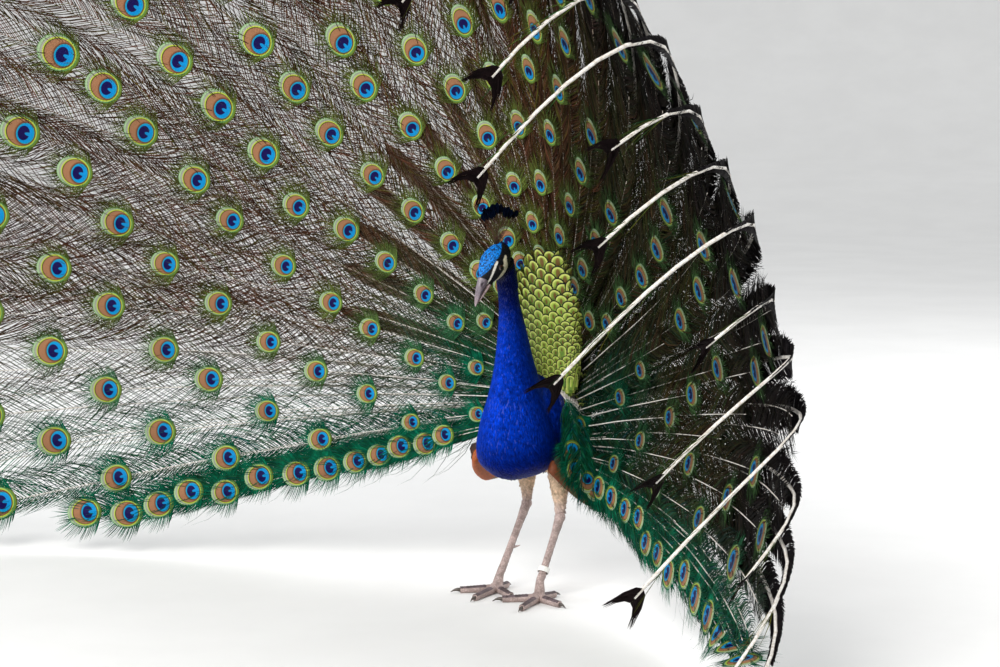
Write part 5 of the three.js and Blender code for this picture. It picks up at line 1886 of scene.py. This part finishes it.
# From shoulder to wrist: x, y and z, half across and half deep.
WING_ARMS = {
    "left": [(64, -22, 206, 6, 12), (78, 14, 182, 10, 20), (88, 56, 150, 8, 16), (97, 104, 134, 5, 9)],
    "right": [(-64, -30, 214, 6, 12), (-80, 4, 198, 10, 20), (-93, 52, 180, 8, 20), (-96, 98, 182, 5, 12)],
}
WING_SLOPE = {"left": -0.2, "right": 0.02}
# The left wing lies in the shade of the train.
WING_SHADE = {"left": 0.4, "right": 1.0}
WING_ARM = colour(0.62, 0.32, 0.15)
# Each row of the wing is how many feathers, the first and last place on the arm,
# length, half width, first and last rise, and first and last turn in degrees.
WING_ROWS = [
    (9, (0.5, 0.85), 176, 12, (-4, 4), (-7, 6)), (9, (0.3, 0.66), 112, 12, (0, 11), (1, 9)),
    (10, (0.2, 0.72), 64, 10, (-8, 9), (-4, 6)), (10, (0.12, 0.66), 46, 9, (-10, 10), (-5, 6)),
    (10, (0.06, 0.56), 36, 8, (-11, 11), (-6, 6)), (9, (0.02, 0.46), 28, 7, (-11, 11), (-6, 6)),
]


def wing(side, sign):
    """A folded wing: its arm, the long quills, and the rows of coverts over them."""
    arm_rings = WING_ARMS[side]
    line = along_points([ring[:3] for ring in arm_rings], 101)
    tailward = unit(np.array([sign * 0.1, 1.0, WING_SLOPE[side]]))
    out = unit(np.array([sign, 0.0, 0.0]) - tailward * sign * tailward[0])
    up = np.cross(out, tailward) * sign
    quills, coverts = Sheaf(), Sheaf()
    for row, (count, places, long, half, rises, turns) in enumerate(WING_ROWS):
        for i in range(count):
            part = i / (count - 1)
            turn = math.radians(mix(*turns, part) + chance.uniform(-1, 1))
            along = tailward * math.cos(turn) + up * math.sin(turn)
            spot = line[int(100 * mix(*places, 1 - part))] + up * mix(*rises, part)
            layer = -5 + (3.8 * row if row < 2 else 6.6 + 1.5 * (row - 2)) + 0.55 * (i % 3)
            spot = spot + out * layer - along * 6
            pattern = FLIGHT if row < 2 else COVERT
            length = long * chance.uniform(0.95, 1.05)
            points = placed(pattern, spot[None], along[None], up[None], out[None], [length], [half], -0.05)
            tint = WHITE * chance.uniform(0.8, 1.15) * WING_SHADE[side]
            bake = np.array([[0.04 + 0.09 * i, 0.08 + 0.15 * row]])
            (coverts if row else quills).copies(pattern, points, tint, bake)
    arm = loft([(*ring[:3], ring[3] - 1.5, ring[4] - 2) for ring in arm_rings], SIDEWAYS, 12, 16)
    tint_corners(arm, WING_ARM * WING_SHADE[side])
    finish_piece(arm, f"wing_{side}_arm", SKIN_LOOK)
    quills.make(f"wing_{side}_quills", CHESTNUT_LOOK, "wing_plumage")
    return coverts.make(f"wing_{side}_coverts", WING_LOOK, "wing_plumage", ["wing_" + side])


TAIL_COUNT = 20
TAIL_SPREAD = 76.0
TAIL_REACH = 430.0
TAIL_HALF = 19.0


def tail():
    """Stiff feathers that stand behind the train and hold it up."""
    sheaf = Sheaf()
    x, y, z = FLIGHT.points.T
    vane = FLIGHT.points[:, :2]
    for i in range(TAIL_COUNT):
        degrees = mix(-TAIL_SPREAD, TAIL_SPREAD, i / (TAIL_COUNT - 1))
        course = fan_course(degrees, -1.0 - 0.45 * (i % 2))
        reach = TAIL_REACH * (1 - 0.12 * (degrees / TAIL_SPREAD) ** 2) * chance.uniform(0.98, 1.02)
        points = course.at(x * TAIL_HALF, y * (reach + 10) - 10, z * TAIL_HALF)
        bake = [0.03 + 0.048 * i, 0.5] + vane * [0.02, 0.2]
        sheaf.add(points, FLIGHT.quads, FLIGHT.tris, WHITE * chance.uniform(0.85, 1.15), vane, bake)
    return sheaf.make("tail_feathers", TAIL_LOOK, "tail_plumage", ["tail"])


# ---- legs and feet -----------------------------------------------------------------------------------

SCUTE_DARK = colour(0.33, 0.28, 0.30)
# A scute in profile, as (share of its length, how far it stands out), how far its
# two sides sink in, and how many corners it has across.
SCUTE_PROFILE = [(-0.12, 0.25), (0.3, 0.75), (0.75, 0.85), (1.04, 0.15)]
SCUTE_SUNK = -0.4
SCUTE_CORNERS = 9
TOE_HEIGHT = 6.4
TOE_CUTS = (0, 0.3, 0.5, 0.7, 0.9, 1.0)
CLAW_LONG = 15.0


def scutes(rows, side, front, count, cover):
    """Overlapping plates down the front of a limb, or along the top of a toe."""
    wide = SCUTE_CORNERS
    quads = [(wide * k + j, wide * k + j + 1, wide * k + j + wide + 1, wide * k + j + wide)
             for k in range(len(SCUTE_PROFILE) - 1) for j in range(wide - 1)]
    pieces = []
    rows = along_points(rows, count + 1)
    for a, b in zip(rows[:-1], rows[1:]):
        along = unit(b[:3] - a[:3])
        across = unit(side - along * (along @ side))
        ahead = np.cross(across, along) * front
        points = []
        for place, rise in SCUTE_PROFILE:
            ring = mix(a, b, place)
            for turn in np.radians(np.linspace(-cover, cover, wide)):
                edge = SCUTE_SUNK
                if abs(turn) < math.radians(cover):
                    edge = rise * math.cos(turn * 90 / cover) ** 0.5 + 0.05
                points.append(ring[:3] + across * math.sin(turn) * (ring[3] + edge)
                              + ahead * math.cos(turn) * (ring[4] + edge))
        piece = from_faces("scute", points, quads)
        tint_corners(piece, SCUTE_DARK * chance.uniform(0.6, 1.7))
        pieces.append(piece)
    return pieces


def shank_line(side):
    """The hock and the ankle of a leg, and the direction from one to the other."""
    hock, ankle = (np.array(LEGS[side][joint], float) for joint in ("hock", "ankle"))
    return hock, ankle, unit(ankle - hock)


def leg(side):
    """A shank with its knob at the hock, its spur behind and its plates in front."""
    hock, ankle, along = shank_line(side)
    shank = [(*between(hock, ankle, part), wide, deep) for part, wide, deep in SHANK_RINGS]
    limb = loft(shank, SIDEWAYS, 30, 20)
    knob = globe(hock, (8.2, 9.0, 8.8))
    start = between(hock, ankle, 0.66)
    behind = unit(np.array([-0.35 if side == "left" else 0.35, 1.0, -0.1]))
    spur = loft([(*(start + behind * (2 + 17 * t) - along * 3 * t * t), mix(3.2, 0.5, t), mix(3.2, 0.5, t))
                 for t in (0, 0.35, 0.7, 1)], SIDEWAYS, 10, 12)
    for piece in (limb, knob, spur):
        tint_corners(piece, LEG_SKIN)
    whole = joined([limb, knob, spur, *scutes(shank[1:], SIDEWAYS, 1, 13, 62)])
    return finish_piece(whole, "leg_" + side, LEG_LOOK, ["leg_" + side])


def foot(side):
    """The lower end of a shank, the sole and the toes, with their plates on top."""
    _, ankle, along = shank_line(side)
    sole, toes = LEGS[side]["sole"], LEGS[side]["toes"]
    stem = loft([(*(ankle - along * 3), 6.0, 6.4), (*(ankle + along * 8), 6.2, 6.6),
                 (sole[0], sole[1] + 3, 12, 8.4, 8.2), (*sole, 7, 6, 6)], SIDEWAYS, 12, 20)
    parts = [globe((*sole, 8), (11, 12, 8)), stem]
    plates = []
    for tip in toes.values():
        rows = []
        for place in TOE_CUTS:
            joint = 0.5 * math.cos(place * math.pi * 5) ** 2
            size = mix(6.6, 4.7, place) + joint
            rows.append((*between(sole, tip, place), mix(TOE_HEIGHT, 5.0, place), size, size * 0.93))
        parts.append(loft(rows, UP, 22, 16))
        plates += scutes(rows[1:], np.cross(UP, toe_heading(sole, tip)), -1, 9, 58)
    for piece in parts:
        tint_corners(piece, LEG_SKIN * 0.92)
    whole = joined(parts + plates)
    raise_above(whole, 0.0)
    return finish_piece(whole, "foot_" + side, LEG_LOOK, ["foot_" + side])


def toe_heading(sole, tip):
    return unit(np.array([tip[0] - sole[0], tip[1] - sole[1], 0.0]))


def claw(side, toe, tip):
    """A nail that arches forward and down from the end of a toe."""
    along = toe_heading(LEGS[side]["sole"], tip)
    start = np.array([*tip, 5.0])
    rows = []
    for t in (-0.1, 0.0, 0.25, 0.5, 0.75, 1.0):
        arch = 1.2 * math.sin(math.pi * max(0.0, t)) - 3.0 * t * t
        size = mix(3.3, 0.45, max(0.0, t) ** 1.2)
        rows.append((*(start + along * t * CLAW_LONG + UP * arch), size, size * 0.75))
    piece = loft(rows, UP, 16, 12)
    raise_above(piece, 0.05)
    tint_corners(piece, WHITE)
    return finish_piece(piece, f"claw_{side}_{toe}", CLAW_LOOK, [f"claw_{side}_{toe}"])


BAND_RADIUS, BAND_HEIGHT, BAND_THICK = 8.8, 8.0, 0.9
BAND_PLACE = 0.885


def band():
    """The white ring round the lower end of the left shank."""
    hock, ankle, along = shank_line("left")
    centre = between(hock, ankle, BAND_PLACE)
    bpy.ops.mesh.primitive_cylinder_add(vertices=48, radius=BAND_RADIUS * MM, depth=BAND_HEIGHT * MM,
                                        end_fill_type="NOTHING")
    piece = bpy.context.object
    bpy.ops.object.mode_set(mode="EDIT")
    bpy.ops.mesh.select_all(action="SELECT")
    bpy.ops.mesh.solidify(thickness=BAND_THICK * MM)
    bpy.ops.object.mode_set(mode="OBJECT")
    turn = Vector(-along).to_track_quat("Z", "Y").to_matrix().to_4x4()
    piece.data.transform(Matrix.Translation((centre + ORIGIN) * MM) @ turn)
    apply_modifier(piece, "edges", "BEVEL", width=0.25 * MM, segments=2)
    return finish_piece(piece, "leg_ring", BAND_LOOK, ["leg_ring"])


# ---- all of it, in the order of its chance draws ------------------------------------------

camera_and_lights()
studio_floor()
train()
body = skin()
coats(body)
golden_scales(body)
bill_part(BILL_UPPER, "bill_upper", 0.35)
bill_part(BILL_LOWER, "bill_lower", 0.0)
eyeball(1, "eye_left")
eyeball(-1, "eye_right")
crest()
wing("left", 1)
wing("right", -1)
tail()
for leg_side in LEGS:
    leg(leg_side)
    foot(leg_side)
    for toe_name, toe_tip in LEGS[leg_side]["toes"].items():
        claw(leg_side, toe_name, toe_tip)
band()
